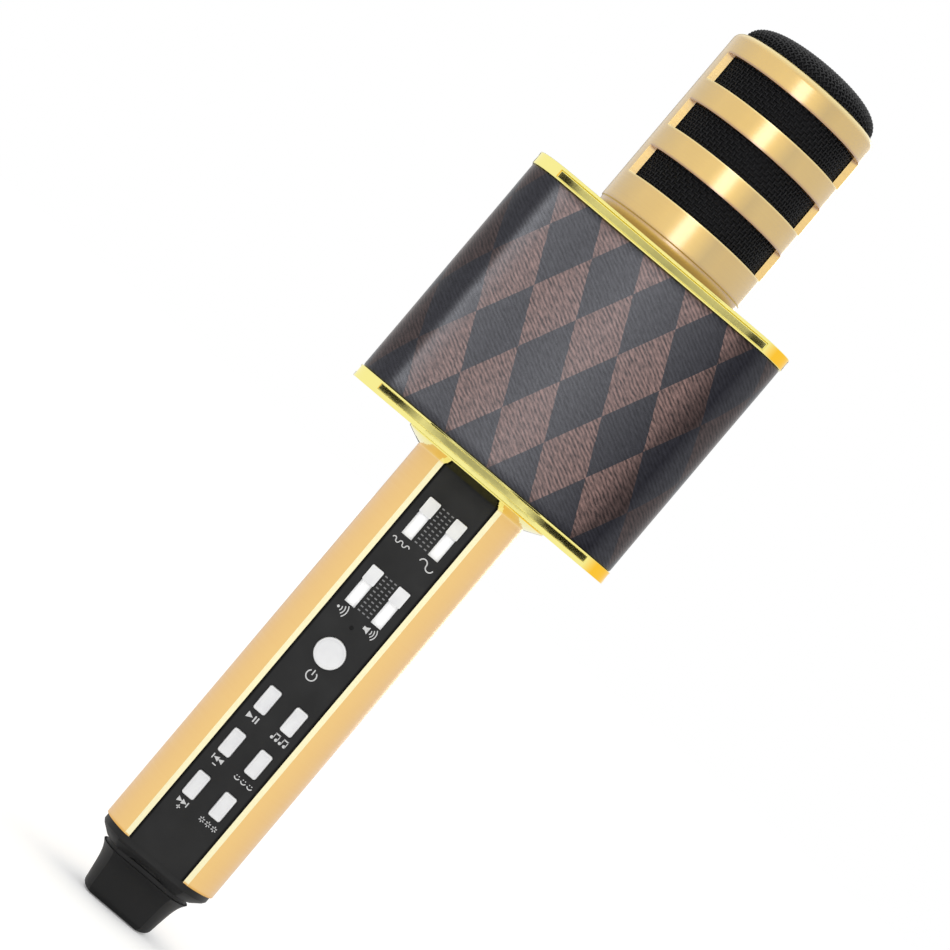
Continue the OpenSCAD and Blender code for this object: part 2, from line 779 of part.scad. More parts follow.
// black ring between the tube and the tail cap, with a spigot up into the tube
module tail_ring() {
    ring_r = handle_r - 0.5;
    color(part_black) difference() {
        union() {
            flattened([[13.65, ring_z0], [ring_r - 0.5, ring_z0 + 1.7], [ring_r, ring_z0 + 2.4],
                [ring_r, handle_z0]]);
            translate([0, 0, handle_z0 - eps]) linear_extrude(ring_spigot_z - handle_z0)
                d_section(handle_in_r - gap, panel_back - 0.1);
        }
        translate([0, 0, ring_z0 - 1]) cylinder(r = cap_spigot_r + gap, h = 40);
        facing_back(0, tail_screw_z) cylinder(r = tail_screw_r + 0.02, h = 40, $fn = 32);
    }
}

// black cap that closes the tail, with the sockets in its end face
module tail_cap() {
    edge_r = 2;
    color(part_black) difference() {
        union() {
            flattened(concat(
                arc(cap_r(edge_r) - edge_r, edge_r, edge_r, 270, 360, 8),
                [for (i = [1:10]) let (z = edge_r + (tail_h - edge_r) * i / 10) [cap_r(z), z]]));
            translate([0, 0, tail_h - eps]) linear_extrude(neck_gap + eps) d_section(12.6, 9);
            translate([0, 0, ring_z0 - eps]) linear_extrude(ring_spigot_z - ring_z0 - 3.5)
                d_section(cap_spigot_r, 8.6);
        }
        translate([0, 0, cap_floor]) linear_extrude(40) d_section(cap_bore_r, 4.9);
        translate([0, jack_y, -1]) cylinder(r = 2.75, h = 5);
        translate([0, usb_y, cap_floor / 2]) cube([usb_w + 0.3, usb_d + 0.3, 10], center = true);
    }
}

module tail_screw() {
    color(steel) facing_back(0, tail_screw_z) difference() {
        union() {
            translate([0, 0, cap_spigot_r + 0.6])
                cylinder(r = tail_screw_r, h = handle_r - cap_spigot_r - 1, $fn = 32);
            translate([0, 0, handle_r - 0.85]) cylinder(r1 = tail_screw_r, r2 = 1.9, h = 0.8, $fn = 32);
        }
        for (a = [0, 90]) translate([0, 0, handle_r]) rotate(a) cube([1.8, 0.5, 0.9], center = true);
    }
}

module io_board() {
    color(board_green) translate([0, 0, io_z]) linear_extrude(1.2) d_section(cap_bore_r - 0.1, 4.8);
}

// rectangular charging socket, open downwards
module charging_socket() {
    shell_wall = 0.35;
    color(steel) translate([0, usb_y, 0]) {
        translate([0, 0, 0.7]) linear_extrude(7) difference() {
            round_rect(usb_w, usb_d, 1.5);
            round_rect(usb_w - 2 * shell_wall, usb_d - 2 * shell_wall, 1.2);
        }
        translate([0, 0, 7.6]) linear_extrude(io_z - 7.6 - gap) round_rect(usb_w, usb_d, 1.5);
        translate([-3.2, -0.35, 2]) cube([6.4, 0.7, 5.7]);
    }
}

// audio socket, open downwards
module audio_jack() {
    color([0.1, 0.1, 0.1]) translate([0, jack_y, 0]) difference() {
        union() {
            translate([0, 0, jack_z0]) cylinder(r = 2.65, h = 3);
            translate([-3, -2.9, cap_floor + 0.1]) cube([6, 5.8, io_z - cap_floor - 0.1 - gap]);
        }
        translate([0, 0, jack_z0 - 1]) cylinder(r = jack_r, h = jack_len + 1);
    }
}

head_cage();
mesh_basket();
foam_liner();
mic_capsule();
capsule_mount();
head_base();
head_nut();
top_plate();
bottom_plate();
box_shell();
leather_wrap();
speaker_grille();
grille_bezel();
speaker_baskets();
speaker_magnets();
speaker_cones();
amp_board();
amp_screws();
plate_screws();
neck_collar();
neck_insert();
neck_screws();
handle_tube();
control_panel();
main_board();
board_components();
slide_pots();
tact_switches();
board_screws();
indicator_lens();
battery_cell();
battery_holder();
battery_contacts();
wire_loom();
tail_ring();
tail_cap();
tail_screw();
io_board();
charging_socket();
audio_jack();
treble_knob();
bass_knob();
echo_knob();
volume_knob();
power_button();
play_button();
previous_button();
next_button();
music_button();
laughter_button();
cheer_button();
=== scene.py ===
"""Looks of the karaoke microphone: materials, woven mesh, leather wrap, printed icons, light and camera.

Lengths in the helpers are metres, like the frame. MM turns a length in millimetres into metres.
"""
import json
import math

import bmesh
import bpy
import numpy as np
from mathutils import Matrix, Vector


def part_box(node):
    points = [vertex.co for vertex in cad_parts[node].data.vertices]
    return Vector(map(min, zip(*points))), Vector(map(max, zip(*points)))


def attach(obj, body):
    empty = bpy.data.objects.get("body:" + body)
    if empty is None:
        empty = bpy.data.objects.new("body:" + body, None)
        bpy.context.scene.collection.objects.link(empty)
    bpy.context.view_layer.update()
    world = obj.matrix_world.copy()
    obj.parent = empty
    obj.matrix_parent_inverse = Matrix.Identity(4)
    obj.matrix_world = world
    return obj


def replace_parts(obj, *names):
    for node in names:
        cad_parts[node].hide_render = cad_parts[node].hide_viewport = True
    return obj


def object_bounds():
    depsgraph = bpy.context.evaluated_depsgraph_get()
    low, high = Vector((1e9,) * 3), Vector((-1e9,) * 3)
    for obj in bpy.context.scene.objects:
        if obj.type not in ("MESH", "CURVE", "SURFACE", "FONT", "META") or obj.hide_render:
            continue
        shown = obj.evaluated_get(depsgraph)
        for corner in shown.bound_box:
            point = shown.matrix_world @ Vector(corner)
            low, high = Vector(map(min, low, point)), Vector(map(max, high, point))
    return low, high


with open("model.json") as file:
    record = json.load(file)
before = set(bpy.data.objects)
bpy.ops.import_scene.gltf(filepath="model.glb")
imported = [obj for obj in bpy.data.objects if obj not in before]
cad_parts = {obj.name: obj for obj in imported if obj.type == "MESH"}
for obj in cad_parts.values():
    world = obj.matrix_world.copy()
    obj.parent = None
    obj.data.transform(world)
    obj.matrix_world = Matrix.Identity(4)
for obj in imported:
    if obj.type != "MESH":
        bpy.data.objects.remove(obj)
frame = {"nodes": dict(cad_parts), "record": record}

cad_low, cad_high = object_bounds()

MM = 0.001
MAIN_BODY = "mic"
nodes = frame["nodes"]


# ---- places, worked out from the frame

plate_low, plate_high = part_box("top_plate")
wrap_low, wrap_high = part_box("leather_wrap")
bezel_low, bezel_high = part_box("grille_bezel")
grille_low, grille_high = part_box("speaker_grille")
cage_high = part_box("head_cage")[1]
basket_low, basket_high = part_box("mesh_basket")
foam_low, foam_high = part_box("foam_liner")
panel_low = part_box("control_panel")[0]

box_corner_r = 10 * MM
box_front = wrap_high.x  # half the width of the box's front
wrap_corner_r = box_corner_r - (plate_high.x - wrap_high.x)
wrap_thickness = 0.8 * MM
bezel_lap = 2.5 * MM  # how far the grille's frame covers the leather
panel_face_y = panel_low.y
panel_half = 8.35 * MM  # half the width of the panel's face
# painted sheen: how glossy the leather is made across the front, from the left edge (-1) to the right edge
# (1)
FRONT_PAINTED_SHEEN = ((-0.83, 0.33), (-0.76, 0.78), (-0.66, 0.5), (-0.45, 0.41), (0.0, 0.55), (0.62, 0.14),
                (0.74, 0.04), (0.80, 0.04), (0.88, 0.37))
# painted shade on the head's gold, from the side facing left (-1) to the side facing right (1)
HEAD_PAINTED_SHADE = ((-0.9, 0.78), (-0.63, 1.0), (-0.3, 1.0), (-0.2, 0.9), (0.0, 1.0), (0.2, 0.9), (0.34, 0.70),
             (0.5, 0.82), (0.95, 0.8))
# how light the reflection in a plate's groove is, from its left end (-1) to its right end (1)
BOTTOM_GLEAM = ((-0.80, 0.02), (-0.58, 0.75), (-0.36, 0.37), (0.2, 0.45), (0.40, 0.8), (0.60, 0.02))
TOP_GLEAM = ((-0.90, 0.04), (-0.78, 0.55), (-0.6, 0.68), (0.1, 0.43), (0.5, 0.55), (0.82, 0.42), (0.88, 0.05))
# the same for the flag behind the object
BACK_GLEAM = ((-1.0, 0.7), (-0.3, 0.2), (0.3, 0.2), (1.0, 0.8))


# ---- mesh helpers

def new_object(name, data):
    """Object in the scene, made of a mesh, lamp or camera."""
    obj = bpy.data.objects.new(name, data)
    bpy.context.scene.collection.objects.link(obj)
    return obj


def mesh_object(name, vertices, faces, material, smooth=True):
    """Object of one material, made from vertices and faces."""
    mesh = bpy.data.meshes.new(name)
    mesh.from_pydata([tuple(v) for v in vertices], [], [tuple(f) for f in faces])
    mesh.polygons.foreach_set("use_smooth", [smooth] * len(mesh.polygons))
    mesh.materials.append(material)
    mesh.update()
    return new_object(name, mesh)


def add_mesh(name, vertices, faces, slot, body=MAIN_BODY, smooth=True, material=None):
    """Piece that rides on a body, in the material of its slot or in another."""
    obj = mesh_object(name, vertices, faces, material or MATERIALS[slot], smooth)
    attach(obj, body)
    return obj


def fix_normals(obj, merge=1e-7):
    """Merges doubled corners and turns every face outwards."""
    bm = bmesh.new()
    bm.from_mesh(obj.data)
    bmesh.ops.remove_doubles(bm, verts=bm.verts, dist=merge)
    bmesh.ops.recalc_face_normals(bm, faces=bm.faces)
    bm.to_mesh(obj.data)
    bm.free()


def steps_round(count):
    """Pairs of each number and the next one, round and back to 0."""
    return [(i, (i + 1) % count) for i in range(count)]


def ring_faces(rows, columns, base=0, closed=False):
    """Quads between consecutive rings of points, and from the last ring to the first if closed."""
    faces = []
    for r in range(rows if closed else rows - 1):
        row, above = base + r * columns, base + (r + 1) % rows * columns
        faces += [(row + c, row + n, above + n, above + c) for c, n in steps_round(columns)]
    return faces


def revolve(name, profile, steps, slot):
    """Turns a closed profile of (radius, z) points round the Z axis into a ring-shaped solid."""
    angles = np.linspace(0, 2 * math.pi, steps, endpoint=False)
    vertices = [(r * math.cos(a), r * math.sin(a), z) for r, z in profile for a in angles]
    obj = add_mesh(name, vertices, ring_faces(len(profile), steps, closed=True), slot)
    fix_normals(obj)
    return obj


def rounded_outline(width, height, radius, per_corner):
    """Points round a rounded rectangle centred on the origin, anticlockwise."""
    points = []
    for corner, (sx, sy) in enumerate([(1, 1), (-1, 1), (-1, -1), (1, -1)]):
        for step in range(per_corner + 1):
            angle = math.radians(90 * corner + 90 * step / per_corner)
            points.append((sx * (width / 2 - radius) + radius * math.cos(angle),
                           sy * (height / 2 - radius) + radius * math.sin(angle)))
    return points


def loft_along_y(name, rings, body, slot, per_corner=8):
    """Closed solid through rounded-rectangle rings (x, z, width, height, radius, y)."""
    vertices = []
    for x, z, width, height, radius, y in rings:
        vertices += [(x + px, y, z + pz) for px, pz in rounded_outline(width, height, radius, per_corner)]
    count = 4 * (per_corner + 1)
    faces = ring_faces(len(rings), count)
    faces += [tuple(range(count)), tuple((len(rings) - 1) * count + i for i in range(count))]
    obj = add_mesh(name, vertices, faces, slot, body)
    fix_normals(obj, merge=1e-6)
    return obj


def tubes(name, paths, radius, slot, sides=5):
    """Wires as one mesh. Each path is (points, side vectors, closed)."""
    vertices, faces = [], []
    for points, normals, closed in paths:
        ahead = np.roll(points, -1, axis=0) - np.roll(points, 1, axis=0)
        if not closed:
            ahead[0], ahead[-1] = points[1] - points[0], points[-1] - points[-2]
        across = np.cross(ahead, normals)
        across /= np.linalg.norm(across, axis=1)[:, None]
        up = np.cross(across, ahead)
        up /= np.linalg.norm(up, axis=1)[:, None]
        base = len(vertices)
        turns = [2 * math.pi * k / sides for k in range(sides)]
        vertices += [p + radius * (math.cos(t) * a + math.sin(t) * u)
                     for p, a, u in zip(points, across, up) for t in turns]
        faces += ring_faces(len(points), sides, base, closed)
        if not closed:
            faces += [range(base, base + sides)[::-1], range(len(vertices) - sides, len(vertices))]
    return add_mesh(name, vertices, faces, slot)


# ---- material helpers

class Shader:
    """A node tree with one Principled shader, and short calls to build it."""

    def __init__(self, name, **inputs):
        self.material = bpy.data.materials.new(name)
        self.material.use_nodes = True
        self.tree = self.material.node_tree
        self.shader = self.tree.nodes["Principled BSDF"]
        for key, value in inputs.items():
            self.put(key.replace("_", " "), value)
        self.normal = None

    def feed(self, socket, value):
        """Sets a socket to a value, or links another socket to it."""
        if isinstance(value, bpy.types.NodeSocket):
            self.tree.links.new(value, socket)
        else:
            socket.default_value = value

    def put(self, name, value):
        self.feed(self.shader.inputs[name], value)

    def node(self, kind, inputs=None, **settings):
        made = self.tree.nodes.new(kind)
        for key, value in settings.items():
            setattr(made, key, value)
        for key, value in (inputs or {}).items():
            self.feed(made.inputs[key], value)
        return made

    def place(self):
        """Position in the frame, in metres."""
        return self.node("ShaderNodeTexCoord").outputs["Object"]

    def facing(self, ease=0.0, samples=8):
        """Direction the surface faces, eased over its edges within a distance if wanted."""
        if ease:
            return self.node("ShaderNodeBevel", {"Radius": ease}, samples=samples).outputs["Normal"]
        return self.node("ShaderNodeNewGeometry").outputs["Normal"]

    def part(self, axis, vector):
        """One part, X, Y or Z, of a place or direction."""
        return self.node("ShaderNodeSeparateXYZ", {"Vector": vector}).outputs[axis]

    def stretch(self, vector, scale):
        return self.node("ShaderNodeMapping", {"Vector": vector, "Scale": scale}).outputs["Vector"]

    def noise(self, scale, detail=3.0, vector=None):
        return self.node("ShaderNodeTexNoise", {"Vector": vector or self.place(), "Scale": scale,
                                                "Detail": detail, "Roughness": 0.55}).outputs["Fac"]

    def math(self, operation, a, b=0.0, clamp=False):
        return self.node("ShaderNodeMath", {0: a, 1: b}, operation=operation, use_clamp=clamp).outputs[0]

    def times(self, a, b, clamp=False):
        return self.math("MULTIPLY", a, b, clamp)

    def plus(self, a, b):
        return self.math("ADD", a, b)

    def minus(self, a, b):
        return self.math("SUBTRACT", a, b)

    def span(self, value, low, high, to_low=0.0, to_high=1.0):
        """Maps a value from one span to another, without going past the ends."""
        return self.node("ShaderNodeMapRange", {"Value": value, "From Min": low, "From Max": high,
                                                "To Min": to_low, "To Max": to_high}).outputs[0]

    def ramp(self, value, stops):
        """Level at a value, read between stops of (place from -1 to 1, level)."""
        made = self.node("ShaderNodeValToRGB", {"Fac": self.span(value, -1.0, 1.0)})
        spare = made.color_ramp.elements
        while len(spare) > 1:
            spare.remove(spare[-1])
        for index, (place, level) in enumerate(stops):
            stop = spare[0] if index == 0 else spare.new((place + 1) / 2)
            stop.position = (place + 1) / 2
            stop.color = (level, level, level, 1)
        return made.outputs["Color"]

    def mix(self, factor, a, b):
        """Blends two colours, each a socket or (red, green, blue)."""
        a, b = (c if isinstance(c, bpy.types.NodeSocket) else (*c, 1) for c in (a, b))
        return self.node("ShaderNodeMix", {0: factor, 6: a, 7: b}, data_type="RGBA").outputs[2]

    def bump(self, height, distance):
        """Adds a height from 0 to 1, times the distance in metres, to the surface's bumps."""
        inputs = {"Height": height, "Distance": distance}
        if self.normal:
            inputs["Normal"] = self.normal
        self.normal = self.node("ShaderNodeBump", inputs).outputs["Normal"]
        self.put("Normal", self.normal)

    def edges(self, radius, gain=3.0):
        """1 along outer and inner edges, 0 on open faces."""
        normals = {0: self.facing(radius, 4), 1: self.facing()}
        alike = self.node("ShaderNodeVectorMath", normals, operation="DOT_PRODUCT").outputs["Value"]
        return self.times(self.minus(1.0, alike), gain, clamp=True)


def satin_metal(name, colour, light, under, roughness, streak, side=None, front=None, painted_shade_stops=None,
                **inputs):
    """Satin metal: fine streaks round the axis, soft blotches, paler worn edges, paler as painted highlight
    where it faces up and deeper as painted shade where it faces down.

    side and front are its colours where it faces aside or straight ahead, painted shade and painted
    highlight;
    the given stops darken it across from left to right as painted shade.
    """
    s = Shader(name, Metallic=1.0, **inputs)
    fine = s.noise(1, 4, s.stretch(s.place(), streak))
    blotch = s.noise(60)
    wear = s.times(s.edges(0.35 * MM), s.span(s.noise(220, 4), 0.35, 0.65), clamp=True)
    facing = s.times(s.part("Y", s.facing()), -1.0)
    # painted shade where it faces aside and painted highlight where it faces straight ahead
    tone = s.mix(s.span(facing, 0.0, 0.75), side or colour, colour)
    tone = s.mix(s.span(facing, 0.85, 0.97), tone, front or colour)
    # painted shade: the given stops darken the metal across, by which way it faces from left to right
    if painted_shade_stops:
        tone = s.mix(s.ramp(s.part("X", s.facing()), painted_shade_stops), (0.0, 0.0, 0.0), tone)
    tone = s.mix(s.span(blotch, 0.3, 0.7, 0.0, 0.3), tone, s.mix(0.3, tone, light))
    tone = s.mix(s.times(wear, 0.6), tone, light)
    # painted highlight where it faces up and painted shade where it faces down, such as under the rings and
    # on the foot
    upright = s.part("Z", s.facing(1.2 * MM))
    tone = s.mix(s.span(upright, 0.2, 0.8), tone, light)
    s.put("Base Color", s.mix(s.span(upright, -0.05, -0.4), tone, under))
    s.put("Roughness", s.plus(s.span(fine, 0.3, 0.7, roughness - 0.05, roughness + 0.05),
                              s.span(blotch, 0.3, 0.7, -0.02, 0.04)))
    s.bump(fine, 0.004 * MM)
    return s.material


def plated_metal(name, colour, deep, painted_warm_reflection):
    """Mirror plating: faint orange-peel, smears in the gloss, a painted warm reflection on the right front
    corner.
    """
    s = Shader(name, Metallic=1.0)
    # painted reflection: where the plate faces right and forward it takes the warm colour
    corner = s.minus(s.times(s.part("X", s.facing()), 0.8), s.times(s.part("Y", s.facing()), 0.6))
    plating = s.mix(s.span(s.noise(18, 2), 0.35, 0.7, 0.0, 0.5), colour, deep)
    s.put("Base Color", s.mix(s.span(corner, 0.82, 0.96), plating, painted_warm_reflection))
    s.put("Roughness", s.span(s.noise(35, 5), 0.3, 0.75, 0.01, 0.03))
    s.bump(s.noise(260, 2), 0.001 * MM)
    return s.material


def moulded_plastic(name, colour, light, roughness=0.48, grain=0.012, painted_shadow_beyond=None):
    """Moulded plastic: fine spark-eroded grain, rubbed edges; less glossy beyond a distance from the middle,
    as a painted shadow line along the panel's borders.
    """
    s = Shader(name, Specular_IOR_Level=0.25)
    # painted shadow: beyond this distance the gloss drops, darkening a line along the borders
    if painted_shadow_beyond:
        aside = s.math("ABSOLUTE", s.part("X", s.place()))
        s.put("Specular IOR Level", s.span(aside, painted_shadow_beyond, painted_shadow_beyond + 0.4 * MM, 0.25, 0.06))
    edge_wear_and_top_sheen = s.times(s.edges(0.3 * MM), s.span(s.noise(300), 0.4, 0.7), clamp=True)
    base = s.mix(s.span(s.noise(90), 0.35, 0.7, 0.0, 0.3), colour, light)
    s.put("Base Color", s.mix(s.times(edge_wear_and_top_sheen, 0.5), base, light))
    s.put("Roughness", s.span(s.noise(140), 0.3, 0.7, roughness - 0.05, roughness + 0.07))
    s.bump(s.noise(5200, 2), grain * MM)
    return s.material


def diamond_check(s, along, height):
    """1 in the light diamonds and 0 in the dark ones, with slightly wavering borders."""
    diamond_w, diamond_h = 13.13 * MM, 27.4 * MM
    waver = s.times(s.minus(s.noise(420, 2), 0.5), 0.35 * MM)
    column = s.math("DIVIDE", s.plus(along, waver), diamond_w)
    row = s.math("DIVIDE", s.minus(s.plus(height, waver), wrap_low.z), diamond_h)
    rising, falling = s.plus(column, row), s.minus(column, row)
    return s.math("FLOORED_MODULO", s.plus(s.math("FLOOR", rising), s.math("FLOOR", falling)), 2.0)


def slanting_grain(s, along, height):
    """Fine broken ribs that all slant one way, from 0 in the hollows to 1 on top."""
    slope_x, slope_z = 0.45, 0.89
    across = s.plus(s.times(along, slope_x), s.times(height, slope_z))
    down = s.minus(s.times(along, slope_z), s.times(height, slope_x))
    drift = s.times(s.noise(380, 2), 0.9 * MM)
    line = s.node("ShaderNodeCombineXYZ", {"X": s.plus(across, drift)}).outputs[0]
    ribs = s.node("ShaderNodeTexWave", {"Vector": line, "Scale": 350.0, "Distortion": 1.0, "Detail": 2.0,
                                        "Detail Scale": 3.0}, bands_direction="X").outputs["Fac"]
    dash = s.node("ShaderNodeCombineXYZ", {"X": s.times(down, 520), "Y": s.times(across, 1500)}).outputs[0]
    dashes = s.span(s.noise(1, 2, dash), 0.34, 0.66)
    return s.plus(s.times(ribs, 0.45), s.times(dashes, 0.55))


def check_leather():
    """Coated leather with a plain two-tone diamond check and one fine slanting grain all over.

    The sheet carries "along", the distance round the box from the middle of the front. A thin share of
    reddish foil gives the light diamonds their glint. A painted sheen sets how glossy the front is from left
    to right, and painted shade dims the foil at the front corners.
    """
    s = Shader("check_leather")
    along = s.node("ShaderNodeAttribute", attribute_name="along").outputs["Fac"]
    height = s.part("Z", s.place())
    light = diamond_check(s, along, height)
    thread = slanting_grain(s, along, height)
    grain = s.noise(2600)

    dark = s.mix(thread, (0.010, 0.010, 0.013), (0.020, 0.020, 0.026))
    brown = s.mix(thread, (0.013, 0.010, 0.010), (0.028, 0.020, 0.020))
    s.put("Base Color", s.mix(light, dark, brown))
    s.put("Roughness", s.span(grain, 0.3, 0.7, 0.24, 0.34))
    share_of_front = s.math("DIVIDE", along, box_front)
    # painted sheen: a bright left corner, a broad sheen left of the middle and a dull right, set as
    # glossiness
    painted_sheen = s.ramp(share_of_front, FRONT_PAINTED_SHEEN)
    s.put("Specular IOR Level", s.times(painted_sheen, s.span(thread, 0.0, 1.0, 0.8, 1.2)))
    s.put("Specular Tint", (0.93, 0.94, 1.0, 1))
    s.bump(thread, 0.016 * MM)
    s.bump(grain, 0.008 * MM)

    foil = s.node("ShaderNodeBsdfAnisotropic", {"Color": (0.66, 0.38, 0.32, 1), "Roughness": 0.3,
                                                "Normal": s.normal}).outputs[0]
    # painted shade: the foil's glint is dimmed near the front corners, where the light falls off; the
    # corner's place is a share of the front's half width
    corner = 0.93
    off_shaded_corner = s.math("ABSOLUTE", s.minus(s.math("ABSOLUTE", share_of_front), corner))
    share = s.times(light, s.span(thread, 0.1, 0.9, 0.012, 0.13))
    # the foil is thinner where the painted sheen is low
    share = s.times(share, s.span(painted_sheen, 0.05, 0.15, 0.4, 1.0))
    share = s.times(share, s.span(off_shaded_corner, 0.1, 0.3, 0.35, 1.0))
    both = s.node("ShaderNodeMixShader", {0: share, 1: s.shader.outputs[0], 2: foil}).outputs[0]
    s.tree.links.new(both, s.tree.nodes["Material Output"].inputs["Surface"])
    return s.material


def wire_paint():
    """Black painted steel wire, patchily lighter and glossier on top of the head as painted sheen."""
    s = Shader("wire_paint")
    # painted sheen: lighter and glossier towards the top of the dome, in patches
    top = s.span(s.part("Z", s.place()), cage_high.z + 1 * MM, basket_high.z)
    edge_wear_and_top_sheen = s.times(s.span(s.noise(500), 0.3, 0.7, 0.5, 1.0), top)
    s.put("Base Color", s.mix(edge_wear_and_top_sheen, (0.003, 0.003, 0.004), (0.035, 0.035, 0.036)))
    s.put("Specular IOR Level", s.span(top, 0.0, 1.0, 0.2, 0.55))
    s.put("Roughness", s.span(s.noise(900, 2), 0.3, 0.7, 0.35, 0.55))
    s.bump(s.noise(3000, 2), 0.01 * MM)
    return s.material


def foam():
    """Open-celled black foam."""
    s = Shader("foam", Roughness=0.95)
    cells = s.node("ShaderNodeTexVoronoi", {"Vector": s.place(), "Scale": 1400.0}).outputs["Distance"]
    s.put("Base Color", s.mix(s.span(cells, 0.0, 0.6), (0.003, 0.003, 0.003), (0.02, 0.02, 0.022)))
    s.bump(cells, 0.25 * MM)
    return s.material


def button_plastic():
    """White plastic, light grey and mottled on the faces, paler along the edges as painted highlight and
    behind the panel as painted light against the shade there.
    """
    s = Shader("button_plastic", Subsurface_Weight=0.15, Subsurface_Radius=(0.001, 0.001, 0.001),
               Subsurface_Scale=0.5)
    base = s.mix(s.span(s.noise(160), 0.35, 0.7), (0.62, 0.62, 0.63), (0.68, 0.68, 0.68))
    # painted light: paler behind the panel face, against the shade in the recess, and along the edges as a
    # highlight
    behind = s.span(s.part("Y", s.place()), panel_face_y + 0.2 * MM, panel_face_y + 0.5 * MM)
    painted_light_mask = s.math("MAXIMUM", behind, s.edges(0.3 * MM, 2.0))
    s.put("Base Color", s.mix(painted_light_mask, base, (0.92, 0.92, 0.92)))
    s.put("Roughness", s.span(s.noise(400), 0.3, 0.7, 0.28, 0.4))
    s.bump(s.noise(4000, 2), 0.006 * MM)
    return s.material


def ink(name, colour):
    """Screen-printed ink with thin spots."""
    s = Shader(name, Roughness=0.55)
    thin = s.span(s.noise(2500), 0.3, 0.5, 0.75, 1.0)
    s.put("Base Color", s.mix(thin, (0.12, 0.12, 0.12), colour))
    s.bump(s.noise(5000, 2), 0.01 * MM)
    return s.material


def bare_metal(name, colour, roughness=0.3):
    """Turned steel with fine rings and darker patches."""
    s = Shader(name, Metallic=1.0)
    turned = s.noise(1, 3, s.stretch(s.place(), (900, 900, 4000)))
    s.put("Roughness", s.span(turned, 0.3, 0.7, roughness - 0.08, roughness + 0.12))
    s.put("Base Color", s.mix(s.span(s.noise(200), 0.4, 0.7), colour, [0.75 * c for c in colour]))
    s.bump(turned, 0.01 * MM)
    return s.material


def circuit_board():
    """Green board with faint copper tracks."""
    s = Shader("circuit_board")
    tracks = s.node("ShaderNodeTexBrick", {"Vector": s.place(), "Scale": 260.0, "Mortar Size": 0.03,
                                           "Color1": (0.01, 0.10, 0.04, 1), "Color2": (0.012, 0.12, 0.05, 1),
                                           "Mortar": (0.02, 0.20, 0.09, 1)})
    s.put("Base Color", tracks.outputs["Color"])
    s.put("Roughness", s.span(s.noise(500), 0.3, 0.7, 0.28, 0.45))
    s.bump(tracks.outputs["Fac"], 0.02 * MM)
    return s.material


def soft_jacket(name, colour, shade):
    """Soft sleeve or wrap: wires, cell wrap, rubber cup, paper cone."""
    s = Shader(name)
    s.put("Base Color", s.mix(s.span(s.noise(300, 4), 0.35, 0.7), colour, shade))
    s.put("Roughness", s.span(s.noise(700), 0.3, 0.7, 0.45, 0.7))
    s.bump(s.noise(1800), 0.03 * MM)
    return s.material


MATERIALS = {
    # head: the stops darken it across as painted shade, darkest just right of the front
    "satin_gold": satin_metal(
        "satin_gold", (0.71, 0.43, 0.035), (0.92, 0.74, 0.26), (0.36, 0.15, 0.01), 0.45, (60, 60, 2600),
        painted_shade_stops=HEAD_PAINTED_SHADE, Coat_Weight=1.0, Coat_Roughness=0.2, Coat_IOR=2.5),
    # handle: the side colour is painted shade on the flanks, the front colour a painted highlight on the
    # strips beside the panel
    "handle_gold": satin_metal(
        "handle_gold", (0.90, 0.60, 0.24), (0.93, 0.68, 0.34), (0.80, 0.45, 0.12), 0.34, (60, 60, 1800),
        side=(0.76, 0.49, 0.25), front=(0.98, 0.92, 0.60)),
    # the last colour is the painted warm reflection on the right front corner
    "mirror_gold": plated_metal("mirror_gold", (0.95, 0.87, 0.32), (0.90, 0.77, 0.20), (0.97, 0.56, 0.04)),
    "panel_black": moulded_plastic(
        "panel_black", (0.006, 0.006, 0.006), (0.010, 0.010, 0.011), 0.55, painted_shadow_beyond=panel_half - 0.6 * MM),
    "black_plastic": moulded_plastic("black_plastic", (0.005, 0.005, 0.005), (0.010, 0.010, 0.011), 0.5),
    "black_mesh": wire_paint(),
    "black_grille": wire_paint(),
    "black_foam": foam(),
    "black_rubber": soft_jacket("black_rubber", (0.02, 0.02, 0.02), (0.03, 0.03, 0.03)),
    "check_leather": check_leather(),
    "bare_steel": bare_metal("bare_steel", (0.60, 0.61, 0.63)),
    "dark_steel": bare_metal("dark_steel", (0.12, 0.12, 0.13), 0.5),
    "paper_cone": soft_jacket("paper_cone", (0.02, 0.02, 0.021), (0.035, 0.035, 0.036)),
    "circuit_board": circuit_board(),
    "smoked_lens": moulded_plastic("smoked_lens", (0.001, 0.001, 0.001), (0.002, 0.002, 0.002), 0.7, 0.002),
    "cell_wrap": soft_jacket("cell_wrap", (0.02, 0.12, 0.32), (0.03, 0.16, 0.38)),
    "wire_jacket": soft_jacket("wire_jacket", (0.40, 0.02, 0.02), (0.30, 0.015, 0.015)),
    "button_white": button_plastic(),
}


def paint(obj, material):
    obj.data.materials.clear()
    obj.data.materials.append(material)


# ---- CAD nodes that stay

def soften(obj, width, segments=2):
    """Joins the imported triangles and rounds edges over 30 degrees; the CAD vertices stay as they are."""
    custom = obj.data.attributes.get("custom_normal")
    if custom:
        obj.data.attributes.remove(custom)
    obj.data.polygons.foreach_set("use_smooth", [True] * len(obj.data.polygons))
    weld = obj.modifiers.new("weld", "WELD")
    weld.merge_threshold = 1e-6
    flat = obj.modifiers.new("join_flat_faces", "DECIMATE")
    flat.decimate_type = "DISSOLVE"
    flat.angle_limit = math.radians(0.2)
    bevel = obj.modifiers.new("round_edges", "BEVEL")
    bevel.width = width
    bevel.segments = segments
    bevel.harden_normals = True


# millimetres
EDGE_ROUNDING = {
    "head_cage": 0.45, "top_plate": 0.3, "bottom_plate": 0.3, "neck_collar": 0.15, "handle_tube": 0.2,
    "control_panel": 0.12, "tail_ring": 0.2, "tail_cap": 0.3, "grille_bezel": 0.15,
}


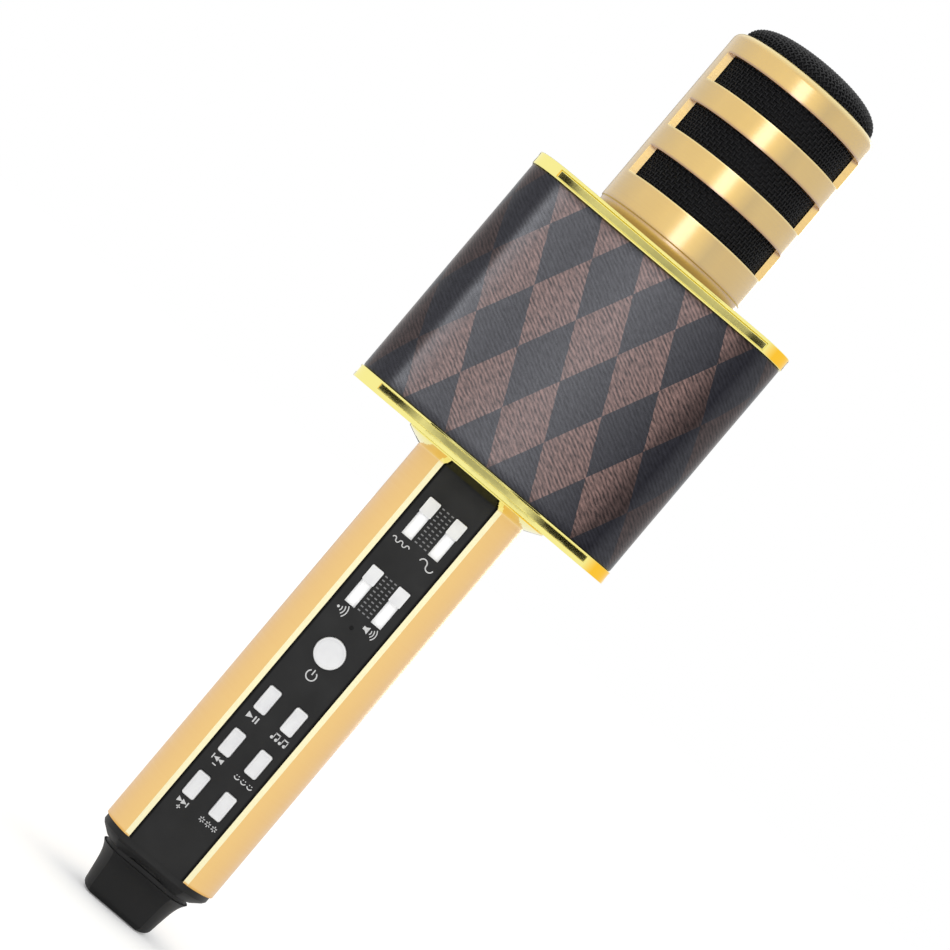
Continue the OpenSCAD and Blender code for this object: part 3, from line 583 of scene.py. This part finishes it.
def dress_cad_nodes():
    """Gives every CAD node the material of its slot, and rounds the edges of the outer ones."""
    slots = {part["node"]: part["material_slot"] for part in frame["record"]["subparts"]}
    for name, obj in nodes.items():
        paint(obj, MATERIALS[slots[name]])
        if name in EDGE_ROUNDING:
            soften(obj, EDGE_ROUNDING[name] * MM)
        elif name.endswith("_knob"):
            soften(obj, 0.18 * MM, 3)


# ---- head: woven basket and foam

WIRE_R = 0.24 * MM
WEAVE_PITCH = 1.1 * MM
DOME_FULLNESS = 0.72  # 1 gives an ellipse, less gives fuller shoulders
basket_r = basket_high.x - WIRE_R
dome_base_z = cage_high.z - 1.0 * MM
dome_rise = basket_high.z - WIRE_R - dome_base_z


def side_wire(turns, heights, way, closed):
    """Path of a wire that crosses another at every second point, inside and outside it by turns."""
    swing = np.zeros(len(turns))
    swing[::4], swing[2::4] = way * WIRE_R, -way * WIRE_R
    out = np.stack([np.cos(turns), np.sin(turns), np.zeros_like(turns)], axis=1)
    points = out * (basket_r + swing)[:, None]
    points[:, 2] = heights
    return points, out, closed


def basket_side():
    """Square weave of upright wires and rings."""
    wires = int(round(2 * math.pi * basket_r / WEAVE_PITCH / 2)) * 2
    rings = int((dome_base_z - basket_low.z) / WEAVE_PITCH)
    angles = np.arange(2 * wires) * math.pi / wires
    heights = basket_low.z + WIRE_R + np.arange(2 * rings) * WEAVE_PITCH / 2
    paths = [side_wire(angles, heights[2 * j], -(-1) ** j, True) for j in range(rings)]
    paths += [side_wire(np.full(2 * rings, angles[2 * i]), heights, (-1) ** i, False) for i in range(wires)]
    return tubes("basket_side_weave", paths, WIRE_R, "black_mesh")


def dome_profile(radius, rise, t):
    """Radius and height of a dome with full shoulders; t runs from 0 at the rim to a quarter turn."""
    return radius * np.abs(np.cos(t)) ** DOME_FULLNESS, rise * np.sin(t) ** DOME_FULLNESS


def dome_surface(arc):
    """Radius, height and outward slope of the dome at a distance from its crown, along the surface."""
    t = np.linspace(math.pi / 2, 0, 600)
    r, z = dome_profile(basket_r, dome_rise, t)
    length = np.concatenate([[0], np.cumsum(np.hypot(np.diff(r), np.diff(z)))])
    at = np.interp(arc, length, t)
    r, z = dome_profile(basket_r, dome_rise, at)
    power = 2 / DOME_FULLNESS - 1
    slope = np.stack([(r / basket_r) ** power / basket_r, (z / dome_rise) ** power / dome_rise], axis=-1)
    slope /= np.linalg.norm(slope, axis=-1)[..., None]
    return r, dome_base_z + z, slope, length[-1]


def basket_dome():
    """A square weave pressed into a dome, turned so that its wires run slantwise."""
    turn = math.radians(38)
    reach = dome_surface(np.array([0.0]))[3]
    half = int(reach / WEAVE_PITCH)
    paths = []
    for way in (1, -1):
        for j in range(-half, half + 1):
            steps = np.arange(-2 * half, 2 * half + 1)
            steps = steps[np.hypot(steps * WEAVE_PITCH / 2, j * WEAVE_PITCH) <= reach]
            if len(steps) < 3:
                continue
            run = steps * WEAVE_PITCH / 2
            side = np.full_like(run, j * WEAVE_PITCH)
            u, v = (run, side) if way == 1 else (side, run)
            r, z, slope, _ = dome_surface(np.hypot(u, v))
            phi = np.arctan2(v, u) + turn
            normal = np.stack([slope[:, 0] * np.cos(phi), slope[:, 0] * np.sin(phi), slope[:, 1]], axis=1)
            swing = np.where(steps % 2 == 0, np.where((steps // 2 + j) % 2 == 0, way, -way), 0) * WIRE_R
            points = np.stack([r * np.cos(phi), r * np.sin(phi), z], axis=1) + normal * swing[:, None]
            paths.append((points, normal, False))
    return tubes("basket_dome_weave", paths, WIRE_R, "black_mesh")


def basket_hem():
    """Rolled ring that closes the basket where side and dome meet, under the cage's rim."""
    centre_r, centre_z, hem_r = basket_r - 0.1 * MM, dome_base_z - 0.2 * MM, 0.55 * MM
    profile = [(centre_r + hem_r * math.cos(a), centre_z + hem_r * math.sin(a))
               for a in np.linspace(0, 2 * math.pi, 12, endpoint=False)]
    return revolve("basket_hem", profile, 96, "black_mesh")


def foam_cup():
    """Wind foam with an uneven skin, as a cup under the dome."""
    outer_r, inner_r = foam_high.x, foam_high.x - 1.5 * MM
    outline = [(outer_r, foam_low.z + h) for h in np.linspace(0, dome_base_z - foam_low.z, 40)]
    rise = foam_high.z - dome_base_z
    up = np.linspace(0, math.pi / 2, 18)[1:-1]
    outline += [(r, dome_base_z + z) for r, z in zip(*dome_profile(outer_r, rise, up))]
    outline += [(0.4 * MM, foam_high.z), (0.4 * MM, foam_high.z - 1.5 * MM)]
    outline += [(r, dome_base_z + z) for r, z in zip(*dome_profile(inner_r, rise - 1.5 * MM, up[::-1]))]
    outline += [(inner_r, dome_base_z), (inner_r, foam_low.z)]
    cup = revolve("foam_cup", outline, 120, "black_foam")
    rng = np.random.default_rng(7)
    for vertex in cup.data.vertices:
        vertex.co *= 1 - rng.uniform(0, 0.0009)
    return cup


def build_head():
    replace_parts(basket_side(), "mesh_basket")
    basket_dome()
    basket_hem()
    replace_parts(foam_cup(), "foam_liner")


# ---- speaker box: leather and grille

HAIR = 1e-9              # allowance for rounding
LEATHER_TURN = 0.5 * MM  # height of the turned-in edge


def leather_levels(window_low, window_high):
    """Heights of the sheet's rows, close together at the turned-in edges."""
    low, high, fold = wrap_low.z, wrap_high.z, 0.2 * MM
    return [low, low + fold, *np.linspace(low + LEATHER_TURN, window_low, 5),
            *np.linspace(window_low, window_high, 25)[1:],
            *np.linspace(window_high, high - LEATHER_TURN, 5)[1:], high - fold, high]


def straight_run(s, count, start, end, outward):
    """Stations from a point to just before another."""
    (x, y), length = start, math.dist(start, end)
    run_x, run_y = end[0] - x, end[1] - y
    return [(s + f * length, x + f * run_x, y + f * run_y, *outward, 0.0) for f in np.arange(count) / count]


def corner_run(s, cx, cy, start, steps=16):
    """Stations round a corner of the box, from an angle in degrees to just before a quarter turn on."""
    stations = []
    for turned in (90 * i / steps for i in range(steps)):
        a = math.radians(start + turned)
        stations.append((s + wrap_corner_r * math.radians(turned), cx + wrap_corner_r * math.cos(a),
                         cy + wrap_corner_r * math.sin(a), math.cos(a), math.sin(a), 0.0))
    return stations


def wrap_path(window_x):
    """Stations round the box, from the seam in the middle of the back and round by the left side.

    Each is the distance from the middle of the front, x, y, outward x and y, and how deep the seam dips.
    """
    half_w, half_d = wrap_high.x, wrap_high.y
    flat_w, flat_d = half_w - wrap_corner_r, half_d - wrap_corner_r
    quarter = math.pi * wrap_corner_r / 2
    seam = 0.4 * MM
    back = [(0.0, 1.0), (-seam, 0.0), (-2.5 * seam, 0.0)]
    back += [(-x, 0.0) for x in np.linspace(3 * MM, window_x, 12)]

    s = -2 * (flat_w + flat_d + quarter)
    stations = [(s - x, x, half_d, 0.0, 1.0, dip) for x, dip in back]
    s += flat_w
    sides = ((24, (-half_w, flat_d), (-half_w, -flat_d), (-1.0, 0.0)),
             (40, (-flat_w, -half_d), (flat_w, -half_d), (0.0, -1.0)),
             (24, (half_w, -flat_d), (half_w, flat_d), (1.0, 0.0)))
    corners = ((-flat_w, flat_d, 90), (-flat_w, -flat_d, 180), (flat_w, -flat_d, 270))
    for (cx, cy, start), side in zip(corners, sides):
        stations += corner_run(s, cx, cy, start)
        s += quarter
        stations += straight_run(s, *side)
        s += math.dist(side[1], side[2])
    stations += corner_run(s, flat_w, flat_d, 0)
    s += quarter
    stations.append((s, flat_w, half_d, 0.0, 1.0, 0.0))
    stations += [(s + flat_w + x, -x, half_d, 0.0, 1.0, dip) for x, dip in back[:0:-1]]
    return stations


def leather_points(path, levels):
    """Outer and then inner points of the sheet, row by row."""
    low, high = levels[0], levels[-1]
    points = []
    for layer in ("outer", "inner"):
        for z in levels:
            edge = min(z - low, high - z)
            tuck = 0.3 * MM * max(0.0, 1 - edge / LEATHER_TURN) ** 2
            for s, x, y, nx, ny, seam_dip in path:
                ripple = 0.03 * MM * math.sin(s * 190 + z * 60) * math.sin(z * 150 + 1.3 + s * 35)
                depth = tuck + seam_dip * 0.45 * MM - ripple * min(1, edge / (3 * MM))
                inset = depth if layer == "outer" else wrap_thickness - 0.05 * MM
                points.append((x - nx * inset, y - ny * inset, z))
    return points


def leather_faces(path, levels, window_x, window_low, window_high):
    """Faces of both sides of the sheet and of its edges, with the window behind the grille left out."""
    columns, rows = len(path), len(levels) - 1
    inner = len(levels) * columns
    behind = [abs(x) <= window_x + HAIR and y > 0 for _, x, y, *_ in path]
    open_rows = [a >= window_low - HAIR and b <= window_high + HAIR for a, b in zip(levels, levels[1:])]
    open_columns = [behind[c] and behind[n] for c, n in steps_round(columns)]
    solid = [[not (across and up) for across in open_columns] for up in open_rows]
    faces = []
    for index, quad in enumerate(ring_faces(len(levels), columns)):
        k, c = divmod(index, columns)
        if not solid[k][c]:
            continue
        n = (c + 1) % columns
        faces += [quad, [inner + i for i in quad[::-1]]]
        borders = [(k == 0 or not solid[k - 1][c], quad[0], quad[1]),
                   (k == rows - 1 or not solid[k + 1][c], quad[2], quad[3]),
                   (not solid[k][n], quad[1], quad[2]), (not solid[k][c - 1], quad[3], quad[0])]
        faces += [(b, a, inner + a, inner + b) for is_edge, a, b in borders if is_edge]
    return faces


def leather_sheet():
    """Padded leather round the box, with turned-in edges, a window for the grille and a seam behind."""
    window_x = (bezel_high.x - bezel_low.x) / 2 - bezel_lap
    window_low, window_high = bezel_low.z + bezel_lap, bezel_high.z - bezel_lap
    path = wrap_path(window_x)
    levels = leather_levels(window_low, window_high)
    faces = leather_faces(path, levels, window_x, window_low, window_high)
    sheet = add_mesh("leather_sheet", leather_points(path, levels), faces, "check_leather")
    along = sheet.data.attributes.new("along", "FLOAT", "POINT")
    along.data.foreach_set("value", [station[0] for station in path] * (2 * len(levels)))
    sheet.data.set_sharp_from_angle(angle=math.radians(40))
    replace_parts(sheet, "leather_wrap")


class PunchedSheet:
    """Upright flat sheet, built from cells with one round hole each and from plain strips."""

    def __init__(self, front, back, hole_r, sides):
        self.vertices, self.faces = [], []
        self.front, self.back = front, back
        self.hole_r, self.sides = hole_r, sides

    def corners(self, x0, x1, z0, z1):
        """Adds a rectangle's corners, in front and then behind, and gives the first one's number."""
        outline = ((x0, z0), (x1, z0), (x1, z1), (x0, z1))
        self.vertices += [(x, y, z) for y in (self.front, self.back) for x, z in outline]
        return len(self.vertices) - 8

    def strip(self, x0, x1, z0, z1):
        base = self.corners(x0, x1, z0, z1)
        self.faces += [range(base, base + 4), range(base + 7, base + 3, -1)]

    def outer_edge(self, x0, x1, z0, z1):
        base = self.corners(x0, x1, z0, z1)
        self.faces += ring_faces(2, 4, base)

    def cell(self, x0, x1, z0, z1):
        cx, cz = (x0 + x1) / 2, (z0 + z1) / 2
        base = len(self.vertices)
        turns = [2 * math.pi * (k + 0.5) / self.sides for k in range(self.sides)]
        to_edge = [min(abs((x1 - cx) / math.cos(t)), abs((z1 - cz) / math.sin(t))) for t in turns]
        for y in (self.front, self.back):
            for reaches in ([self.hole_r] * self.sides, to_edge):
                self.vertices += [(cx + r * math.cos(t), y, cz + r * math.sin(t))
                                  for r, t in zip(reaches, turns)]
            self.vertices += [(x, y, z) for x, z in ((x1, z1), (x0, z1), (x0, z0), (x1, z0))]
        behind = base + 2 * self.sides + 4
        for k, n in steps_round(self.sides):
            self.faces += [self.sector(base, k, n, cx, cz), self.sector(behind, k, n, cx, cz)[::-1],
                           (base + k, base + n, behind + n, behind + k)]

    def sector(self, base, k, n, cx, cz):
        """Face from the hole to the cell's edge, with the cell's corner where it spans one."""
        edge_a, edge_b = base + self.sides + k, base + self.sides + n
        (ax, _, az), (bx, _, bz) = self.vertices[edge_a], self.vertices[edge_b]
        if abs(ax - bx) <= HAIR or abs(az - bz) <= HAIR:
            return (base + k, edge_a, edge_b, base + n)
        right, upper = (ax + bx) / 2 > cx, (az + bz) / 2 > cz
        corner = (0 if right else 1) if upper else (3 if right else 2)
        return (base + k, edge_a, base + 2 * self.sides + corner, edge_b, base + n)


def punched_grille():
    """Steel sheet punched with staggered round holes."""
    pitch, rim = 2.2 * MM, 0.6 * MM
    row_step = pitch * math.sin(math.radians(60))
    columns = int((grille_high.x - grille_low.x - 2 * rim) / pitch)
    rows = int((grille_high.z - grille_low.z - 2 * rim) / row_step)
    right = columns * pitch / 2
    top = rows / 2 * row_step + (grille_low.z + grille_high.z) / 2
    low = top - rows * row_step
    sheet = PunchedSheet(grille_high.y, grille_low.y, 0.72 * MM, 12)
    for row in range(rows):
        z0, z1 = low + row * row_step, low + (row + 1) * row_step
        shift = pitch / 2 if row % 2 else 0.0
        if row % 2:
            sheet.strip(-right, shift - right, z0, z1)
            sheet.strip(right - shift, right, z0, z1)
        for c in range(columns - row % 2):
            x0 = shift - right + c * pitch
            sheet.cell(x0, x0 + pitch, z0, z1)
    sheet.strip(-right - rim, -right, low, top)
    sheet.strip(right, right + rim, low, top)
    sheet.strip(-right - rim, right + rim, top, top + rim)
    sheet.strip(-right - rim, right + rim, low - rim, low)
    sheet.outer_edge(-right - rim, right + rim, low - rim, top + rim)
    made = add_mesh("punched_sheet", sheet.vertices, sheet.faces, "black_grille")
    fix_normals(made, merge=2e-6)
    made.data.set_sharp_from_angle(angle=math.radians(40))
    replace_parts(made, "speaker_grille")


# ---- controls

def centre_of(node):
    low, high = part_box(node)
    return (low.x + high.x) / 2, (low.z + high.z) / 2


def button_rings(node, round_cap):
    """Rings of a cap with a rolled edge and a shallow dish, its flange behind the panel and its stem."""
    low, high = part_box(node)
    x, z = centre_of(node)
    margin, flange_depth, flange_t, stem_w = 0.6 * MM, 2.1 * MM, 0.6 * MM, 3 * MM
    flange_w, flange_h = high.x - low.x, high.z - low.z
    width, height = flange_w - 2 * margin, flange_h - 2 * margin
    radius = width / 2 if round_cap else 0.6 * MM
    front = low.y
    roll, dish = 0.35 * MM, 0.16 * MM
    rings = []
    for inset, depth in ((1.15, 1.0), (0.85, 0.92), (0.6, 0.55), (0.45, 0.15), (0.35, 0.0)):
        rings.append((inset * MM, front + dish * depth))
    for a in (20, 45, 70, 90):
        rings.append((roll * (1 - math.sin(math.radians(a))), front + roll * (1 - math.cos(math.radians(a)))))
    shaped = [(x, z, width - 2 * i, height - 2 * i, max(radius - i, 0.12 * MM), y) for i, y in rings]
    flange_y = panel_face_y + flange_depth
    flange_back = flange_y + flange_t
    stem_r = stem_w / 2 - 1e-6
    shaped += [(x, z, width, height, radius, flange_y), (x, z, flange_w, flange_h, radius, flange_y),
               (x, z, flange_w, flange_h, radius, flange_back), (x, z, stem_w, stem_w, stem_r, flange_back),
               (x, z, stem_w, stem_w, stem_r, high.y)]
    return [(*ring[:4], ring[2] / 2 - 1e-6, ring[5]) for ring in shaped] if round_cap else shaped


def build_buttons():
    """Caps that ride on the buttons' bodies: one round, the others oblong."""
    for node in [n for n in nodes if n.endswith("_button")]:
        round_cap = node == "power_button"
        rings = button_rings(node, round_cap)
        cap = loft_along_y(node + "_cap", rings, node + "_body", "button_white", 12 if round_cap else 6)
        cap.data.set_sharp_from_angle(angle=math.radians(50))
        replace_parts(cap, node)


# ---- printed icons

SLIDER_DROP = 13.4 * MM      # from the top of a knob to the icon below its slot
POWER_DROP = 7 * MM
BUTTON_DROP = 5.6 * MM


def knob_top(node):
    """Height of a knob's visible top, below the end of its hidden flange."""
    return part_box(node)[1].z - 2.4 * MM


class Print:
    """Flat printed shapes on the panel, drawn in millimetres round a centre."""

    def __init__(self):
        self.vertices, self.faces = [], []
        self.centre = (0, 0)

    def below(self, node):
        """Moves the centre to the place of the icon below a slider or a button."""
        x, z = centre_of(node)
        if node.endswith("_knob"):
            self.centre = x, knob_top(node) - SLIDER_DROP
        else:
            self.centre = x, z - (POWER_DROP if node == "power_button" else BUTTON_DROP)

    def shape(self, outline):
        base, n = len(self.vertices), len(outline)
        cx, cz = self.centre
        for y in (panel_face_y - 0.04 * MM, panel_face_y + 0.02 * MM):
            self.vertices += [(cx + x * MM, y, cz + z * MM) for x, z in outline]
        self.faces += [range(base, base + n), range(base + n, base + 2 * n)[::-1]]
        self.faces += [(base + j, base + i, base + n + i, base + n + j) for i, j in steps_round(n)]

    def bar(self, x, z, width, height):
        left, right, low, high = x - width / 2, x + width / 2, z - height / 2, z + height / 2
        self.shape([(left, low), (right, low), (right, high), (left, high)])

    def triangle(self, x, z, size, way):
        self.shape([(x - way * size / 2, z - size / 2), (x + way * size / 2, z),
                    (x - way * size / 2, z + size / 2)][::way])

    def arc(self, x, z, radius, width, start, end, steps=14):
        angles = [math.radians(start + (end - start) * i / steps) for i in range(steps + 1)]
        inner, outer = radius - width / 2, radius + width / 2
        for a, b in zip(angles, angles[1:]):
            self.shape([(x + r * math.cos(t), z + r * math.sin(t))
                        for r, t in ((inner, a), (outer, a), (outer, b), (inner, b))])

    def disc(self, x, z, radius, steps=14):
        turns = [2 * math.pi * i / steps for i in range(steps)]
        self.shape([(x + radius * math.cos(t), z + radius * math.sin(t)) for t in turns])

    def finish(self, name, material):
        obj = add_mesh(name, self.vertices, self.faces, "button_white", smooth=False, material=material)
        fix_normals(obj, merge=1e-8)


def slider_icons(marks):
    """Treble: quick wave. Bass: slow wave. Echo: rings spreading. Volume: loudspeaker with three arcs."""
    marks.below("treble_knob")
    for i in range(5):
        start = 180 * (i % 2)
        marks.arc(i - 2.0, 0, 0.5, 0.28, start, start + 180, 8)
    marks.below("bass_knob")
    marks.arc(-1.05, -0.3, 1.05, 0.32, 0, 180)
    marks.arc(1.05, -0.3, 1.05, 0.32, 180, 360)
    marks.below("echo_knob")
    marks.disc(-1.7, 0, 0.35)
    for radius in (1.0, 1.8, 2.6):
        marks.arc(-1.7, 0, radius, 0.28, -38, 38, 8)
    marks.below("volume_knob")
    marks.bar(-1.7, 0, 0.7, 0.9)
    marks.shape([(-1.35, -0.45), (-0.5, -1.0), (-0.5, 1.0), (-1.35, 0.45)])
    for radius in (0.8, 1.5, 2.2):
        marks.arc(-0.5, 0, radius, 0.26, -42, 42, 8)


def player_icons(marks):
    """Power sign, play and pause, previous with a minus, next with a plus."""
    marks.below("power_button")
    marks.arc(0, 0, 1.35, 0.32, 125, 415, 20)
    marks.bar(0, 0.9, 0.32, 1.5)
    marks.below("play_button")
    marks.triangle(-0.9, 0, 1.7, 1)
    marks.bar(0.5, 0, 0.4, 1.7)
    marks.bar(1.3, 0, 0.4, 1.7)
    for node, way in (("previous_button", -1), ("next_button", 1)):
        marks.below(node)
        marks.triangle(-0.75 * way, 0.3, 1.4, way)
        marks.triangle(0.55 * way, 0.3, 1.4, way)
        marks.bar(1.5 * way, 0.3, 0.3, 1.4)
        marks.bar(0, -1.3, 1.1, 0.28)
        if way == 1:
            marks.bar(0, -1.3, 0.28, 1.1)


def sound_icons(marks):
    """Music: two pairs of notes. Laughter: three smiles. Cheer: three bursts."""
    marks.below("music_button")
    for side in (-1.9, 0.6):
        marks.disc(side, -0.6, 0.42)
        marks.disc(side + 1.3, -0.6, 0.42)
        marks.bar(side + 0.34, 0.15, 0.2, 1.5)
        marks.bar(side + 1.64, 0.15, 0.2, 1.5)
        marks.bar(side + 0.99, 0.85, 1.5, 0.34)
    marks.below("laughter_button")
    for side in (-2, 0, 2):
        marks.arc(side, 0.1, 0.75, 0.28, 200, 340, 8)
        marks.disc(side - 0.35, 0.35, 0.16, 8)
        marks.disc(side + 0.35, 0.35, 0.16, 8)
    marks.below("cheer_button")
    tip, root, wide = 0.8, 0.3, 0.11
    for side in (-1.9, 0, 1.9):
        for a in (math.radians(60 * spoke + 30) for spoke in range(6)):
            marks.shape([(side + r * math.cos(a) + w * math.sin(a), r * math.sin(a) - w * math.cos(a))
                         for r, w in ((root, wide), (tip, wide), (tip, -wide), (root, -wide))])


def slider_ticks(marks):
    """Three columns of short dashes between each pair of sliders."""
    first, step = 0.45 * MM, 1.16 * MM
    for left, right in (("treble_knob", "bass_knob"), ("echo_knob", "volume_knob")):
        x = (centre_of(left)[0] + centre_of(right)[0]) / 2
        for row in range(10):
            marks.centre = x, knob_top(left) - first - step * row
            for column in (-1.45, 0.0, 1.45):
                marks.bar(column, 0, 0.75, 0.34)


def build_prints():
    """White icons and grey dashes, as two thin layers on the panel."""
    icons, ticks = Print(), Print()
    slider_icons(icons)
    player_icons(icons)
    sound_icons(icons)
    slider_ticks(ticks)
    icons.finish("printed_icons", ink("print_white", (0.50, 0.50, 0.50)))
    ticks.finish("printed_ticks", ink("print_grey", (0.16, 0.16, 0.165)))


# ---- studio

def build_floor():
    """Large pale floor just under the tail."""
    bpy.ops.mesh.primitive_circle_add(vertices=96, radius=6.0, fill_type="NGON",
                                      location=(0, 0, cad_low.z - 0.2 * MM))
    floor = bpy.context.object
    floor.name = "floor"
    s = Shader("floor_paint", Roughness=0.75, Specular_IOR_Level=0.0)
    s.put("Base Color", s.mix(s.span(s.noise(3), 0.3, 0.7), (0.93, 0.93, 0.93), (0.95, 0.95, 0.945)))
    s.bump(s.noise(400, 2), 0.02 * MM)
    s.put("Emission Color", (1, 1, 1, 1))
    seen = s.node("ShaderNodeLightPath").outputs["Is Camera Ray"]
    s.put("Emission Strength", s.times(seen, 0.15))
    paint(floor, s.material)


def area_light(name, place, target, width, power, height=0.95):
    """Rectangular lamp that the camera doesn't see."""
    light = bpy.data.lights.new(name, "AREA")
    light.shape = "RECTANGLE"
    light.size, light.size_y = width, height
    light.energy = power
    lamp = new_object(name, light)
    lamp.location = place
    lamp.rotation_mode = "QUATERNION"
    lamp.rotation_quaternion = (Vector(target) - Vector(place)).to_track_quat("-Z", "Y")
    lamp.visible_camera = False
    return lamp


def lights_on(lamp, names, only):
    """Lets a lamp light only the named CAD nodes, or everything but them."""
    group = bpy.data.collections.new(lamp.name + "_group")
    for name in names:
        group.objects.link(nodes[name])
    if not only:
        for member in group.collection_objects:
            member.light_linking.link_state = "EXCLUDE"
    lamp.light_linking.receiver_collection = group


CAMERA_PLACE = Vector((-1.05 * MM, -0.95, 139.7 * MM))
CAMERA_ROLL = 40.2  # degrees
PICTURE_WIDTH_AT_OBJECT = 0.2353  # what the picture takes in at y = 0
CARD_Y = -0.97  # just behind the camera


def mirrored(x, z):
    """Point on the card's plane that the camera sees in a flat plate at x, z."""
    beyond = (plate_low.y - CARD_Y) / (plate_low.y - CAMERA_PLACE.y)
    return x + (x - CAMERA_PLACE.x) * beyond, z + (z - CAMERA_PLACE.z) * beyond


def card(name, left, right, low, high, y, gleam):
    """Shaded upright card, seen only as a reflection."""
    s = Shader(name + "_paper", Roughness=0.9, Specular_IOR_Level=0.0)
    s.put("Base Color", s.ramp(s.span(s.part("X", s.place()), left, right, -1.0, 1.0), gleam))
    corners = [(left, y, low), (right, y, low), (right, y, high), (left, y, high)]
    made = mesh_object(name, corners, [(3, 2, 1, 0)], s.material)
    made.visible_camera = made.visible_shadow = made.visible_diffuse = False


def groove_card(name, low, high, gleam):
    """Card beside the camera that fills a plate's groove between two heights."""
    groove = plate_high.x - 7 * MM
    left, low = mirrored(-groove, low)
    right, high = mirrored(groove, high)
    card(name, left, right, low, high, CARD_Y, gleam)


def build_cards():
    """The shades round the camera in the grooves of the two plates, and a dark flag behind the object."""
    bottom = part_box("bottom_plate")
    groove_card("bottom_card", bottom[0].z + 1.2 * MM, bottom[1].z + 6 * MM, BOTTOM_GLEAM)
    groove_card("top_card", plate_low.z - 6 * MM, plate_high.z - 0.8 * MM, TOP_GLEAM)
    card("back_flag", -0.34, 0.12, -0.2, 0.9, 1.0, BACK_GLEAM)


def build_camera():
    """Straight on to the panel, rolled so that the microphone leans to the upper right."""
    data = bpy.data.cameras.new("camera")
    data.lens = data.sensor_width * -CAMERA_PLACE.y / PICTURE_WIDTH_AT_OBJECT
    data.clip_start, data.clip_end = 0.01, 50
    camera = new_object("camera", data)
    camera.location = CAMERA_PLACE
    camera.rotation_euler = (math.radians(90), math.radians(-CAMERA_ROLL), 0)
    bpy.context.scene.camera = camera


def build_studio():
    """Floor, white surroundings, camera and lamps; each lamp lights only what it is meant for."""
    build_floor()
    build_camera()
    world = bpy.context.scene.world = bpy.data.worlds.new("studio")
    world.use_nodes = True
    world.node_tree.nodes["Background"].inputs["Color"].default_value = (1, 1, 1, 1)
    centre = (0, 0, (cad_low.z + cad_high.z) / 2)
    front = area_light("front_softbox", (0, -1.35, 0.16), centre, 0.95, 7.2)
    lights_on(front, ("head_cage", "handle_tube", "neck_collar", "top_plate", "bottom_plate"), only=False)
    strip = area_light("head_strip", (-0.06, -1.35, 0.20), (0, 0, 0.24), 0.46, 3.1)
    lights_on(strip, ("head_cage",), only=True)
    back = area_light("back_strip", (0.42, 1.2, 0.25), (0, 0, 0.16), 0.25, 2.2)
    lights_on(back, ("head_cage", "handle_tube"), only=True)
    build_cards()
    bpy.context.scene.view_settings.view_transform = "Standard"


dress_cad_nodes()
build_head()
leather_sheet()
punched_grille()
build_buttons()
build_prints()
build_studio()
